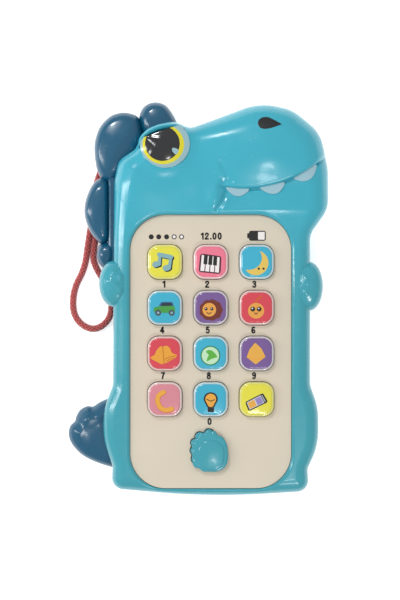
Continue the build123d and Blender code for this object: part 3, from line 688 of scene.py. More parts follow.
def arm_part(centre, half_size, side):
    """A stubby arm: a flattened dome, the fourth root of 1 minus the squared share of its
    radius, with finger bumps. Below its widest line it tucks in by a fifth, as a quarter
    ellipse, to meet the rear shell's part of the arm."""
    ring_shares = np.sin(np.linspace(0, math.pi / 2, 30))[::-1]
    turn = np.linspace(0, 2 * math.pi, 96, endpoint=False) + math.pi / 96
    share, angle = np.meshgrid(ring_shares[:-1], turn, indexing="ij")
    wide, tall = half_size
    x = centre[0] + wide * share * np.cos(angle) * np.abs(np.cos(angle)) ** -0.12
    y = centre[1] + tall * share * np.sin(angle)
    z = ARM_WIDEST_Z + ARM_RISE * np.sqrt(1 - share ** 2) ** 0.5
    for finger in FINGERS[side]:
        z += bump(x, y, finger, FINGER_SPREAD, FINGER_HEIGHT)
    tuck = np.linspace(0, math.pi / 2, 7)[:0:-1]
    low = [(1 - ARM_TUCK_SHARE * (1 - math.cos(t)), ARM_WIDEST_Z - ARM_TUCK * math.sin(t))
           for t in tuck]
    below = np.vstack([np.column_stack([centre[0] + (x[0] - centre[0]) * s,
                                        centre[1] + (y[0] - centre[1]) * s,
                                        np.full(len(turn), level)]) for s, level in low])
    points = np.vstack([below, np.column_stack([x.ravel(), y.ravel(), z.ravel()]),
                        [[centre[0], centre[1], z[-1].mean()]]])
    count, tip = len(turn), len(points) - 1
    rows = len(low) + len(ring_shares) - 1
    faces = [tuple(face) for face in grid_faces(rows, count)]
    last = (rows - 1) * count
    faces += [(last + i, last + (i + 1) % count, tip) for i in range(count)]
    faces.append(tuple(range(count))[::-1])
    return points, faces, 0


def draped(loop, lift, thickness=0.35, rows=8, surface=shell_height, edge=0.12,
           material=0):
    """A thin closed patch that lies on a surface. Its rings are the outline drawn towards
    its middle, and each point stands lift above the surface, rounded off at the rim."""
    loop = anticlockwise(loop)
    middle = loop.mean(axis=0)
    shares = np.concatenate([[0.0, 0.0, 0.02, 0.05], np.linspace(0.12, 0.94, rows)])
    drop = np.concatenate([[thickness, edge, edge * 0.3, 0.0], np.zeros(rows)])
    spots = loop[None] + (middle - loop)[None] * shares[:, None, None]
    height = surface(spots.reshape(-1, 2)).reshape(spots.shape[:2]) + lift - drop[:, None]
    points = np.concatenate([spots, height[..., None]], axis=2).reshape(-1, 3)
    return points, capped_faces(len(shares), len(loop)), material


# ---- outlines of the small pieces ------------------------------------------------------
LID_LINE = [(-28.5, 80.6), (-27.5, 84.0), (-24.8, 86.7), (-20.8, 88.6), (-16.7, 89.4),
            (-12.9, 89.5), (-10.2, 88.1)]
LID_EDGE = ((-25.8, 84.8), (-16.4, 88.2))
TEETH = [
    [(6.0, 65.2), (7.4, 63.2), (9.3, 61.9), (11.3, 61.6), (13.2, 62.3), (15.3, 64.2),
     (13.0, 65.5), (9.0, 65.8)],
    [(19.5, 65.0), (21.2, 63.5), (23.5, 62.6), (25.8, 62.6), (27.9, 64.0), (29.3, 66.9),
     (26.0, 67.2), (22.0, 66.2)],
    [(32.9, 68.7), (34.7, 67.8), (37.2, 67.5), (39.6, 68.5), (41.2, 70.7), (41.8, 74.0),
     (38.5, 73.4), (35.0, 71.2)],
]
NOSTRIL = [(28.1, 89.8), (25.0, 91.6), (22.6, 92.7), (20.4, 92.6), (18.9, 91.4), (18.6, 89.8),
           (19.5, 88.4), (21.4, 87.9), (24.2, 88.4), (28.1, 89.8)]
SCUTES = [
    # outline, height of the rim, rounding, crown
    ([(-28.8, 93.4), (-27.9, 97.2), (-25.5, 99.6), (-22.1, 100.4), (-18.4, 99.4),
      (-15.6, 96.2), (-13.5, 91.8), (-13.6, 87.8), (-20.2, 85.8), (-26.8, 87.3)],
     15.2, 3.4, 1.5),
    ([(-29.0, 94.1), (-32.1, 95.8), (-36.1, 96.2), (-40.7, 94.6), (-44.8, 90.2),
      (-46.8, 84.1), (-46.7, 77.7), (-45.6, 72.4), (-43.3, 68.8), (-39.6, 67.9),
      (-35.4, 71.6), (-30.3, 78.4), (-27.5, 83.9), (-27.3, 88.8)],
     15.2, 3.6, 1.9),
    ([(-43.1, 69.9), (-46.3, 68.7), (-49.0, 64.8), (-50.8, 59.3), (-50.8, 54.0),
      (-48.9, 48.7), (-45.9, 44.5), (-43.4, 42.9), (-41.3, 44.8), (-41.1, 50.4),
      (-41.1, 60.5), (-41.3, 67.6)],
     15.2, 3.4, 1.5),
    ([(-44.7, 42.9), (-45.9, 39.8), (-45.5, 36.4), (-43.8, 33.7), (-41.0, 32.5),
      (-39.0, 35.2), (-38.8, 42.3), (-41.4, 43.9)],
     14.6, 2.8, 1.2),
]
SPINE_STRIP = [(-41.4, 69.5), (-41.4, 34.0), (-37.4, 34.0), (-37.4, 72.0), (-39.5, 73.5)]
TAIL_LINE = [
    (-35.8, -18.1), (-40.8, -19.1), (-44.6, -20.7), (-47.5, -22.5), (-49.8, -22.4),
    (-52.6, -23.8), (-54.3, -26.5), (-54.9, -28.5), (-56.6, -30.2), (-57.4, -32.9),
    (-56.9, -36.1), (-54.9, -39.3), (-51.4, -42.5), (-46.4, -45.0), (-40.0, -47.0),
    (-35.8, -46.8),
]
STRAP_ROUTE = [
    (-43.4, 77.5, 1.6), (-47.8, 66.0, 1.6), (-48.4, 54.0, 1.6), (-50.2, 43.0, 1.6),
    (-51.4, 33.5, 1.6), (-56.3, 24.5, 1.6), (-56.2, 13.0, 1.6), (-48.0, 7.3, 1.6),
    (-40.2, 13.0, 1.6), (-40.9, 24.5, 1.6), (-48.3, 35.5, 1.6), (-47.5, 43.5, 1.6),
    (-45.5, 54.5, 1.6), (-43.4, 65.5, 1.6), (-40.4, 77.5, 1.6),
]


# The toes of the paw key: x, y and radius.
TOES = [(-0.7, -32.7, 2.0), (-4.3, -33.8, 1.9), (-6.2, -36.2, 1.7), (-6.5, -39.2, 1.6),
        (-6.0, -42.6, 1.7)]


# The paw key's cap: its scalloped edge overhangs the hole and clears the panel when pressed.
PAW_CAP_LOW, PAW_CAP_TOP = 24.3, 25.35
PAW_PAD_LOW, PAW_PAD_TOP = 24.9, 25.85
PAW_STEM_LOW, TOE_TOP = 20.4, 24.6
PAW_LINE = [
    (-1.0, -31.1), (0.4, -31.5), (1.5, -31.3), (3.0, -33.1), (4.4, -33.6), (5.7, -35.1),
    (6.5, -37.1), (6.8, -39.1), (6.9, -41.6), (6.6, -43.8), (5.7, -45.6), (4.0, -46.9),
    (2.0, -47.5), (-1.0, -47.5), (-3.1, -47.4), (-4.6, -46.2), (-6.3, -45.8), (-7.2, -44.2),
    (-6.8, -42.1), (-7.6, -40.1), (-7.2, -38.6), (-7.5, -37.3), (-6.5, -36.1),
    (-6.5, -34.8), (-5.1, -33.9), (-4.1, -32.1), (-2.5, -32.1),
]


def paw_parts():
    """The paw key: a stem of sole and toes in the panel's hole, a wider cap with a scalloped
    edge over it, and a raised pad."""
    stem = round_box((-1.2, -39.2), (6.25, 6.45), 5.5, 120)
    pad = round_box((0.2, -40.9), (5.3, 6.0), 4.6, 120)
    parts = [pebble(stem, PAW_STEM_LOW, PAW_PAD_LOW, 0.4, 0.0, belly=0.9)]
    parts += [pebble(ring((x, y), (r - 0.05, r - 0.05), 40), PAW_STEM_LOW, TOE_TOP, 0.4, 0.0, 8,
                     belly=0.9) for x, y, r in TOES]
    parts.append(pebble(curved(PAW_LINE, 260), PAW_CAP_LOW, PAW_CAP_TOP, 1.0, 0.3, belly=0.35))
    parts.append(pebble(pad, PAW_PAD_LOW, PAW_PAD_TOP, 0.9, 0.35, belly=0.3))
    return parts


def bead(line, width, low, high, rows=13, count=60, material=0):
    """A raised bead: half an ellipse carried along a smooth line, its width and height
    drawn in at both ends by the square root of the sine along the line."""
    centre = curved(line, count, closed=False)
    side = left_of(unit(np.gradient(centre, axis=0)))
    taper = np.sqrt(np.sin(np.linspace(0.06, math.pi - 0.06, count)))[:, None]
    angle = np.linspace(math.pi, 0, rows)[None, :]
    out = taper * np.cos(angle) * width / 2
    spots = centre[:, None, :] + side[:, None, :] * out[..., None]
    z = low + (high - low) * taper ** 0.5 * np.sin(angle)
    points = np.concatenate([spots, z[..., None]], axis=2).reshape(-1, 3)
    return points, [face[::-1] for face in capped_faces(count, rows)], material


def cut_by(loop, edge):
    """The loop with every point beyond a straight edge drawn back on to it."""
    start, end = (np.array(spot, float) for spot in edge)
    along = (end - start) / np.linalg.norm(end - start)
    across = np.array([-along[1], along[0]])
    beyond = np.maximum((loop - start) @ across, 0.0)
    return loop - beyond[:, None] * across


TAIL_BELLS = (((-50.2, -26.6), (2.8, 2.8), 1.4), ((-53.8, -33.6), (2.6, 3.6), 0.9),
              ((-43.4, -24.6), (4.2, 2.2), 1.3))


def tail_relief(x, y):
    """The tail's own relief: a bell for each of its two bumps and a long one for its root."""
    return sum(bump(x, y, *bell) for bell in TAIL_BELLS)


# Ripples in the lacquer over the pupil, which break up the light that it reflects.
PUPIL_RIPPLES = [
    curved([(-25.4, 85.0), (-22.9, 83.0), (-21.2, 81.2)], 16, closed=False),
    curved([(-21.8, 81.6), (-22.9, 79.4), (-23.9, 77.3)], 16, closed=False),
    curved([(-23.4, 84.6), (-21.6, 84.2), (-19.6, 84.4)], 16, closed=False),
]


RIPPLE_HEIGHT, RIPPLE_WIDTH = 0.16, 0.6
EYE_RIM_Z = 27.55
EYE_RISE = 1.7                  # of the dome's middle above its rim


def eye_dome(points):
    """The eye's glass-like dome: highest at its middle, and lower by the squared share of
    the way to its rim. The ripples over the pupil are low ridges, a bell curve across."""
    x, y = points.T
    share = ((x - EYE_CENTRE[0]) / EYE_RADII[0]) ** 2 \
        + ((y - EYE_CENTRE[1]) / EYE_RADII[1]) ** 2
    height = EYE_RIM_Z + EYE_RISE * (1 - share)
    for ripple in PUPIL_RIPPLES:
        away, _ = line_distance(points, ripple)
        height += RIPPLE_HEIGHT * np.exp(-(away / RIPPLE_WIDTH) ** 2)
    return height


def jaw_under_lip(points):
    """The lower jaw carried on under the lip: its height 2 mm further towards the chin."""
    return shell_height(points - np.array([0.0, 2.0]))


# Each printed figure is one or more strokes; x and y are shares of the figure's height.
STROKES = {
    "1": ([(-0.13, 0.23), (0.08, 0.39)], [(0.08, 0.39), (0.08, -0.39)]),
    "2": ([(-0.18, 0.18), (-0.13, 0.34), (0.02, 0.40), (0.17, 0.30), (0.15, 0.10),
           (-0.03, -0.13), (-0.19, -0.38)], [(-0.19, -0.39), (0.19, -0.39)]),
    "3": ([(-0.17, 0.26), (-0.04, 0.39), (0.14, 0.33), (0.15, 0.13), (-0.01, 0.03)],
          [(-0.01, 0.03), (0.17, -0.10), (0.15, -0.31), (-0.02, -0.40), (-0.18, -0.27)]),
    "4": ([(0.09, -0.39), (0.09, 0.39)], [(0.07, 0.38), (-0.21, -0.16)],
          [(-0.21, -0.17), (0.22, -0.17)]),
    "5": ([(0.16, 0.39), (-0.11, 0.39)], [(-0.11, 0.39), (-0.14, 0.03)],
          [(-0.14, 0.03), (0.03, 0.10), (0.18, -0.02), (0.17, -0.25), (0.01, -0.40),
           (-0.18, -0.29)]),
    "6": ([(0.15, 0.31), (0.01, 0.40), (-0.14, 0.25), (-0.18, -0.03), (-0.15, -0.29),
           (0.0, -0.40), (0.16, -0.29), (0.16, -0.11), (0.03, 0.02), (-0.12, -0.06),
           (-0.17, -0.16)],),
    "7": ([(-0.19, 0.39), (0.18, 0.39)], [(0.18, 0.38), (0.04, 0.12), (-0.05, -0.15),
                                         (-0.07, -0.39)]),
    "8": ([(0.0, 0.40), (-0.14, 0.31), (-0.12, 0.12), (0.12, 0.12), (0.14, 0.31), (0.0, 0.40)],
          [(0.0, 0.04), (-0.17, -0.08), (-0.15, -0.31), (0.0, -0.40), (0.15, -0.31),
           (0.17, -0.08), (0.0, 0.04)]),
    "0": ([(0.0, 0.40), (-0.14, 0.27), (-0.18, 0.0), (-0.14, -0.27), (0.0, -0.40),
           (0.14, -0.27), (0.18, 0.0), (0.14, 0.27), (0.0, 0.40)],),
}


def figure(mark, centre, height, weight=0.225):
    """One printed figure: each of its strokes as a ribbon, on the panel. A 9 is a 6 turned
    half round."""
    strokes, way = (STROKES["6"], -1) if mark == "9" else (STROKES[mark], 1)
    parts = []
    for stroke in strokes:
        line = curved(stroke, 40, closed=False) if len(stroke) > 2 else np.array(stroke)
        loop = ribbon(line * way * height, weight * height, 40)
        parts.append(stencil(loop + centre, 1, 0, PANEL_TOP))
    return parts


def stencil(loop, level, material=0, top=TILE_TOP, edge=0.0):
    """One printed layer: a thin slab whose top is level layers above the surface."""
    return slab(loop, top - 0.1, top + LAYER * (level + 1), edge, 3, material)


def quad_point(corners, u, v):
    """A point inside four corners, by mixing them: u along the top, v from top to bottom."""
    a, b, c, d = (np.array(corner, float) for corner in corners)
    return (a * (1 - u) + b * u) * (1 - v) + (d * (1 - u) + c * u) * v


def quad_loop(corners, u_low, u_high, v_low, v_high):
    """The part of a four-cornered shape between two shares each way, as a loop."""
    return np.array([quad_point(corners, u, v) for u, v in
                     ((u_low, v_low), (u_high, v_low), (u_high, v_high), (u_low, v_high))])


def softened(points, radius=0.5, count=64):
    """A polygon with round corners."""
    return rounded_loop([(x, y, radius) for x, y in points], count, 8)


# ---- the pictures on the keys ----------------------------------------------------------
def note_picture():
    """Two joined musical notes with a dark edge behind them."""
    shapes = [ribbon([(-2.2, 3.0), (3.0, 1.9)], 1.9), ribbon([(-1.9, 2.8), (-2.2, -1.4)], 1.35),
              ribbon([(2.9, 1.9), (2.3, -2.4)], 1.35), ring((-3.5, -1.2), (1.8, 1.25), 40, 15),
              ring((1.2, -2.8), (1.9, 1.3), 40, 15)]
    shapes = [loop * 0.9 + [-0.2, 0.15] for loop in shapes]
    dark = [(loop + [0.45, -0.42], 0, "night") for loop in shapes]
    return dark + [(loop, 1 + 0.2 * i, "note_grey") for i, loop in enumerate(shapes)]


def piano_picture():
    """Four white keys and three black ones in a dark frame."""
    corners = [(-3.7, 2.75), (3.7, 1.75), (3.4, -4.3), (-4.3, -3.5)]
    frame_corners = [(-4.15, 3.3), (4.25, 2.2), (3.9, -4.85), (-4.8, -4.0)]
    layers = [(softened(frame_corners, 0.9), 0, "plum")]
    layers += [(quad_loop(corners, i / 4 + 0.025, (i + 1) / 4 - 0.025, 0.0, 1.0), 1, "white")
               for i in range(4)]
    return layers + [(quad_loop(corners, i / 4 - 0.1, i / 4 + 0.1, -0.02, 0.56), 2, "black")
                     for i in (1, 2, 3)]


def moon_picture():
    """A sleepy crescent: the part of one circle outside another, with two dots."""
    outer = np.radians(np.linspace(-146.6, 72.4, 48))
    inner = np.radians(np.linspace(33.7, -101.7, 40))
    big = np.column_stack([-0.3 + 4.9 * np.cos(outer), -0.4 + 4.9 * np.sin(outer)])
    gap = np.column_stack([-3.3 + 5.4 * np.cos(inner), 1.6 + 4.8 * np.sin(inner)])
    dots = [(ring((x, -2.7), (0.45, 0.45), 20), 1, "black") for x in (0.8, 2.7)]
    return [(np.vstack([big, gap[1:-1]]), 0, "moon")] + dots


def car_picture():
    """A small car seen from the side."""
    body = [(-4.6, -1.07), (-4.0, 0.1), (-2.3, 0.6), (3.9, 0.75), (4.2, -1.3), (3.6, -2.0),
            (-3.6, -2.1)]
    cabin = [(-2.5, 0.4), (-1.4, 2.3), (3.0, 2.3), (3.8, 0.5)]
    glass = [(-1.7, 0.7), (-0.95, 1.9), (2.7, 1.9), (3.1, 0.7)]
    wheels = [(ring((x, -2.0), (1.2, 1.2), 30), 2, "tyre") for x in (-2.6, 2.75)]
    hubs = [(ring((x, -2.0), (0.5, 0.5), 20), 3, "note_grey") for x in (-2.6, 2.75)]
    return [(softened(cabin, 0.5), 0, "window"), (softened(body, 0.6), 1, "leaf"),
            (softened(glass, 0.3), 1, "night")] + wheels + hubs


def smiling(centre, eyes, spread, size, ink="black"):
    """Two eyes with a glint in each, and a smile below, as layers above a face."""
    x, y = centre
    layers = []
    for way in (-1, 1):
        layers += [(ring((x + way * spread, y + 0.35), (eyes, eyes), 24), 3, ink),
                   (ring((x + way * spread - eyes * 0.2, y + 0.35 + eyes * 0.3),
                         (eyes * 0.3, eyes * 0.3), 12), 4, "white")]
    smile = [(x - size, y - 1.1), (x, y - 1.65), (x + size, y - 1.1)]
    return layers + [(ribbon(curved(smile, 16, False), 0.3, 16), 3, ink)]


def lion_picture():
    """A round face inside a wavy mane, whose radius swells nine times round."""
    angle = np.linspace(0, 2 * math.pi, 108, endpoint=False)
    radius = 4.35 + 0.16 * np.cos(9 * angle) + 0.22 * np.cos(2 * angle)
    mane = np.column_stack([0.1 + radius * np.cos(angle), -0.9 + radius * np.sin(angle)])
    return [(mane, 0, "mane"), (ring((-0.57, -0.8), (2.7, 2.7)), 1, "face")] \
        + smiling((-0.7, -0.8), 0.62, 1.15, 0.8)


def baby_picture():
    """A round face with a tuft of hair."""
    tuft = ribbon(curved([(-0.9, 1.2), (-0.1, 2.6), (0.6, 3.6), (1.7, 4.4)], 16, False), 1.0)
    return [(tuft, 0, "tuft"), (ring((-0.25, -1.2), (3.2, 3.1)), 1, "face")] \
        + smiling((-0.3, -0.9), 0.95, 1.25, 0.6)


def bells_picture():
    """Two bells side by side."""
    left = curved([(-1.1, 2.9), (-3.0, 1.6), (-4.0, -0.4), (-5.6, -1.7), (-3.4, -3.1),
                   (-0.5, -4.1), (-0.3, -0.5)], 60)
    right = curved([(-0.9, 2.3), (0.6, 3.1), (1.9, 2.3), (2.9, 0.3), (4.7, -0.5), (4.2, -1.6),
                    (2.0, -2.9), (-0.2, -3.8), (-0.5, -0.6)], 60)
    fold = ribbon(curved([(-0.8, 2.4), (-0.5, -0.6), (-0.3, -3.9)], 20, False), 0.3)
    rim = ribbon(curved([(0.1, -2.2), (2.2, -1.3), (4.2, -0.9)], 20, False), 0.28)
    inner = ribbon(curved([(0.6, -3.0), (2.2, -2.2), (3.6, -1.7)], 20, False), 0.28)
    return [(left, 0, "bell"), (right, 1, "bell")] + [(line, 2, "bell_line")
                                                      for line in (fold, rim, inner)]


def arrow_picture():
    """A play arrow in a pale disc."""
    arrow = curved([(-1.9, 0.7), (-0.75, 1.4), (0.9, 0.9), (2.6, -1.2), (1.5, -1.7),
                    (0.1, -2.2), (-1.5, -3.1), (-1.3, -1.6), (-0.8, -0.5)], 60)
    return [(ring((-0.14, -0.8), (3.9, 3.9)), 0, "ring_green"),
            (ring((-0.14, -0.8), (3.45, 3.45)), 1, "pale_green"), (arrow, 2, "arrow")]


def kite_picture():
    """A four-sided kite with a fold."""
    body = [(-0.6, 4.4), (-2.9, 1.6), (-4.0, -1.4), (-0.43, -4.3), (3.5, -1.3), (1.8, 2.1)]
    fold = ribbon(curved([(-3.9, -1.5), (-0.4, -2.3), (3.3, -1.4)], 20, False), 0.25)
    return [(softened(body, 0.5), 0, "kite"), (fold, 1, "bell")]


def banana_picture():
    """A curved band like a banana."""
    line = curved([(-0.4, 2.8), (-2.3, 1.5), (-2.75, -0.9), (-1.5, -3.4), (0.7, -4.3),
                   (2.8, -3.8)], 40, False)
    return [(ribbon(line, 2.0), 0, "bell_line"), (ribbon(line + [-0.05, 0.1], 1.75), 1, "bulb")]


def bulb_picture():
    """A smiling light bulb."""
    glass = curved([(0.0, 2.9), (-2.1, 2.0), (-2.8, 0.0), (-1.9, -2.0), (-0.9, -3.5),
                    (0.95, -3.5), (1.9, -2.0), (2.8, 0.0), (2.1, 2.0)], 64)
    lamp = glass * [0.76, 0.8] + [0.0, -0.02]
    base = softened([(-1.3, -3.3), (-1.2, -5.0), (1.35, -5.0), (1.4, -3.3)], 0.4)
    smile = ribbon(curved([(-1.5, 0.1), (0.0, -0.6), (1.4, -0.1)], 16, False), 0.35, 16)
    return [(base, 0, "black"), (glass, 0.5, "black"), (lamp, 1.5, "bulb"), (smile, 2.5, "black")]


def phone_picture():
    """A small phone lying at a slant."""
    corners = [(-4.6, -1.0), (2.5, 2.6), (4.5, -1.0), (-3.2, -4.7)]
    yellow = quad_loop(corners, 0.10, 0.46, 0.18, 0.84)
    violet = quad_loop(corners, 0.50, 0.80, 0.18, 0.84)
    return [(softened(corners, 0.7), 0, "black"),
            (quad_loop(corners, 0.07, 0.83, 0.11, 0.89), 1, "glass"),
            (yellow, 2, "kite"), (violet, 2, "lilac"),
            (quad_loop(corners, 0.88, 0.91, 0.14, 0.86), 1, "glass")]


PICTURES = {"1": note_picture, "2": piano_picture, "3": moon_picture, "4": car_picture,
            "5": lion_picture, "6": baby_picture, "7": bells_picture, "8": arrow_picture,
            "9": kite_picture, "left": banana_picture, "0": bulb_picture,
            "right": phone_picture}
FIGURE_SHIFTS = {"1": -0.3, "2": -1.4, "3": -0.9, "4": -1.04, "5": -1.2, "6": -1.25,
                 "7": -0.7, "8": -0.75, "9": -1.0, "0": -0.46}


def key_centre(key):
    """The middle of a key, from the key pitch and its place in the rows."""
    place = list(KEY_LABELS).index(key)
    return ((place % 3 - 1) * KEY_PITCH[0], KEY_TOP_ROW_Y - place // 3 * KEY_PITCH[1])


# ---- settings --------------------------------------------------------------------------
class ToySizes(bpy.types.PropertyGroup):
    lip_step: FloatProperty(
        name="Lip step", default=1.5 * MM, unit="LENGTH",
        description="How far the upper lip stands above the lower jaw")
    braid_relief: FloatProperty(
        name="Braid relief", default=0.13 * MM, unit="LENGTH",
        description="Depth of the hollows between the strap's braided threads")
    figure_height: FloatProperty(
        name="Figure height", default=2.85 * MM, unit="LENGTH",
        description="Height of the printed figures under the keys")
    camera_distance: FloatProperty(
        name="Camera distance", default=667 * MM, unit="LENGTH",
        description="From the camera to the middle of the toy's height")


class ToyColours(bpy.types.PropertyGroup):
    shell: FloatVectorProperty(
        name="Shell", description="Turquoise of the two shells", subtype="COLOR", size=4,
        default=linear("#35A8BD"), min=0.0, max=1.0)
    shell_low: FloatVectorProperty(
        name="Lower shell", description="Greyer turquoise towards the feet", subtype="COLOR",
        size=4, default=linear("#389AA9"), min=0.0, max=1.0)
    spine: FloatVectorProperty(
        name="Spine", description="Slate blue of the crest and the tail", subtype="COLOR",
        size=4, default=linear("#0C5473"), min=0.0, max=1.0)
    panel: FloatVectorProperty(
        name="Panel", description="Cream of the key panel", subtype="COLOR", size=4,
        default=linear("#D2C7B4"), min=0.0, max=1.0)
    strap: FloatVectorProperty(
        name="Strap", description="Red of the braided strap", subtype="COLOR", size=4,
        default=linear("#CF5552"), min=0.0, max=1.0)


class ToySettings(bpy.types.PropertyGroup):
    sizes: PointerProperty(type=ToySizes)
    colours: PointerProperty(type=ToyColours)


# ---- one operator for each piece or group of like pieces -------------------------------
class TOY_OT_finishes(bpy.types.Operator):
    """Make the materials and give them to the frame's own nodes"""
    bl_idname = "toy.finishes"
    bl_label = "Finishes"

    def execute(self, context):
        make_finishes(context.scene.toy_settings.colours)
        finish_frame_nodes()
        return {"FINISHED"}


class TOY_OT_strap(bpy.types.Operator):
    """Braid the wrist strap along its route"""
    bl_idname = "toy.strap"
    bl_label = "Wrist strap"

    def execute(self, context):
        sizes = context.scene.toy_settings.sizes
        build_strap(sizes.braid_relief / MM)
        return {"FINISHED"}


class TOY_OT_front_shell(bpy.types.Operator):
    """Mould the front shell with its head, lip, eyelid and arms"""
    bl_idname = "toy.front_shell"
    bl_label = "Front shell"

    def execute(self, context):
        parts = [front_shell_part()]
        parts += [arm_part(*ARMS[side], side) for side in ARMS]
        parts.append(bead(LID_LINE, 3.0, 22.0, 29.1))
        mesh_piece("front_shell_moulding", parts, [FINISHES["shell"]],
                   replaces=["front_shell"])
        return {"FINISHED"}


class TOY_OT_spines(bpy.types.Operator):
    """Mould the crest of scutes down the back and the tail"""
    bl_idname = "toy.spines"
    bl_label = "Crest and tail"

    def execute(self, context):
        low = 5.0
        parts = [pebble(curved(outline, 110), low, high, edge, crown)
                 for outline, high, edge, crown in SCUTES]
        parts.append(slab(softened(SPINE_STRIP, 1.2), low, 14.6, 1.4, 8))
        mesh_piece("crest_moulding", parts, [FINISHES["spine"]],
                   replaces=["back_crest"])
        tail = pebble(curved(TAIL_LINE, 200), low, 14.0, 4.6, 1.0, 30, relief=tail_relief)
        mesh_piece("tail_moulding", [tail], [FINISHES["spine"]],
                   replaces=["tail"])
        return {"FINISHED"}


class TOY_OT_face(bpy.types.Operator):
    """Set the eye, the teeth and the nostril on the head"""
    bl_idname = "toy.face"
    bl_label = "Eye, teeth and nostril"

    def execute(self, context):
        white = cut_by(ring(EYE_CENTRE, EYE_RADII, 110), LID_EDGE)
        yellow = cut_by(ring((-18.7, 81.8), (8.2, 7.8), 100), LID_EDGE)
        pupil = cut_by(ring((-19.05, 82.1), (6.85, 6.85), 90), LID_EDGE)
        glint = curved([(-12.7, 79.6), (-14.9, 80.4), (-15.1, 79.1), (-13.6, 77.8)], 30)
        layers = ((white, 0.0, 2.6, 0), (yellow, 0.03, 0.3, 1), (pupil, 0.06, 0.3, 2),
                  (glint, 0.09, 0.3, 0))
        parts = [draped(loop, lift, thickness, 22, eye_dome, 0.02, material)
                 for loop, lift, thickness, material in layers]
        mesh_piece("eye_dome", parts, [FINISHES["eye_white"], FINISHES["eye_yellow"],
                                       FINISHES["pupil"]],
                   replaces=["eye_inlay"])
        teeth = [draped(curved(tooth, 60), 0.5, 0.9, 8, jaw_under_lip, 0.2) for tooth in TEETH]
        mesh_piece("teeth", teeth, [FINISHES["tooth"]])
        hole = draped(curved(NOSTRIL, 70, closed=False)[:-1], 0.03, 0.3, edge=0.02)
        mesh_piece("nostril", [hole], [FINISHES["nostril"]])
        return {"FINISHED"}


class TOY_OT_paw_key(bpy.types.Operator):
    """Mould the paw-shaped key at the foot of the panel"""
    bl_idname = "toy.paw_key"
    bl_label = "Paw key"

    def execute(self, context):
        mesh_piece("paw_key", paw_parts(), [FINISHES["shell"]], body="button_home",
                   replaces=["home_key"])
        return {"FINISHED"}


class TOY_OT_panel_print(bpy.types.Operator):
    """Print the figures, the signal dots, the clock and the battery on the panel"""
    bl_idname = "toy.panel_print"
    bl_label = "Panel print"

    def execute(self, context):
        height = context.scene.toy_settings.sizes.figure_height / MM
        parts = []
        for key, shift in FIGURE_SHIFTS.items():
            x, y = key_centre(key)
            parts += figure(key, (x + shift, y - 8.85), height)
        for mark, x in (("1", -3.3), ("2", -1.55), ("0", 1.5), ("0", 3.55)):
            parts += figure(mark, (x, 45.86), height)
        parts.append(stencil(ring((0.05, 44.8), (0.36, 0.36), 20), 1, 0, PANEL_TOP))
        for number, x in enumerate((-23.6, -20.63, -17.5, -14.5, -11.56)):
            parts.append(stencil(ring((x, 45.57), (1.0, 1.0), 32), 0, 0, PANEL_TOP))
            if number > 2:
                parts.append(stencil(ring((x, 45.57), (0.6, 0.62), 32), 1, 1, PANEL_TOP))
        cell = [(15.2, 44.0), (21.9, 44.0), (21.9, 48.0), (15.2, 48.0)]
        parts.append(stencil(softened(cell, 0.8), 0, 0, PANEL_TOP))
        nub = [(14.5, 45.0), (15.6, 45.0), (15.6, 47.0), (14.5, 47.0)]
        parts.append(stencil(softened(nub, 0.3), 0.4, 0, PANEL_TOP))
        free = [(18.8, 44.45), (21.45, 44.45), (21.45, 47.55), (18.8, 47.55)]
        parts.append(stencil(softened(free, 0.3), 1, 1, PANEL_TOP))
        mesh_piece("panel_print", parts, [FINISHES["black"], FINISHES["white"]],
                   smooth=20.0)
        return {"FINISHED"}


class TOY_OT_key_pictures(bpy.types.Operator):
    """Print a picture on each key, which moves with its key"""
    bl_idname = "toy.key_pictures"
    bl_label = "Key pictures"

    def execute(self, context):
        for key, picture in PICTURES.items():
            centre = np.array(key_centre(key))
            layers = picture()
            inks = list(dict.fromkeys(ink for _, _, ink in layers))
            parts = [stencil(np.asarray(loop) + centre, level, inks.index(ink))
                     for loop, level, ink in layers]
            mesh_piece("picture_" + key, parts, [FINISHES[ink] for ink in inks],
                       body="button_" + key, smooth=20.0)
            tile = round_box(centre, (TILE_WIDTH / 2, TILE_WIDTH / 2), TILE_CORNER, 96)
            mesh_piece("tile_" + key, [slab(tile, TILE_TOP - 0.8, TILE_TOP, 0.75, 8)],
                       [FINISHES[KEY_LABELS[key]]], body="button_" + key,
                       replaces=["label_" + key])
        return {"FINISHED"}


class TOY_OT_stage(bpy.types.Operator):
    """Lay the pale floor and set the soft lights and the camera"""
    bl_idname = "toy.stage"
    bl_label = "Floor, lights and camera"

    def execute(self, context):
        build_stage(context, context.scene.toy_settings.sizes.camera_distance)
        return {"FINISHED"}


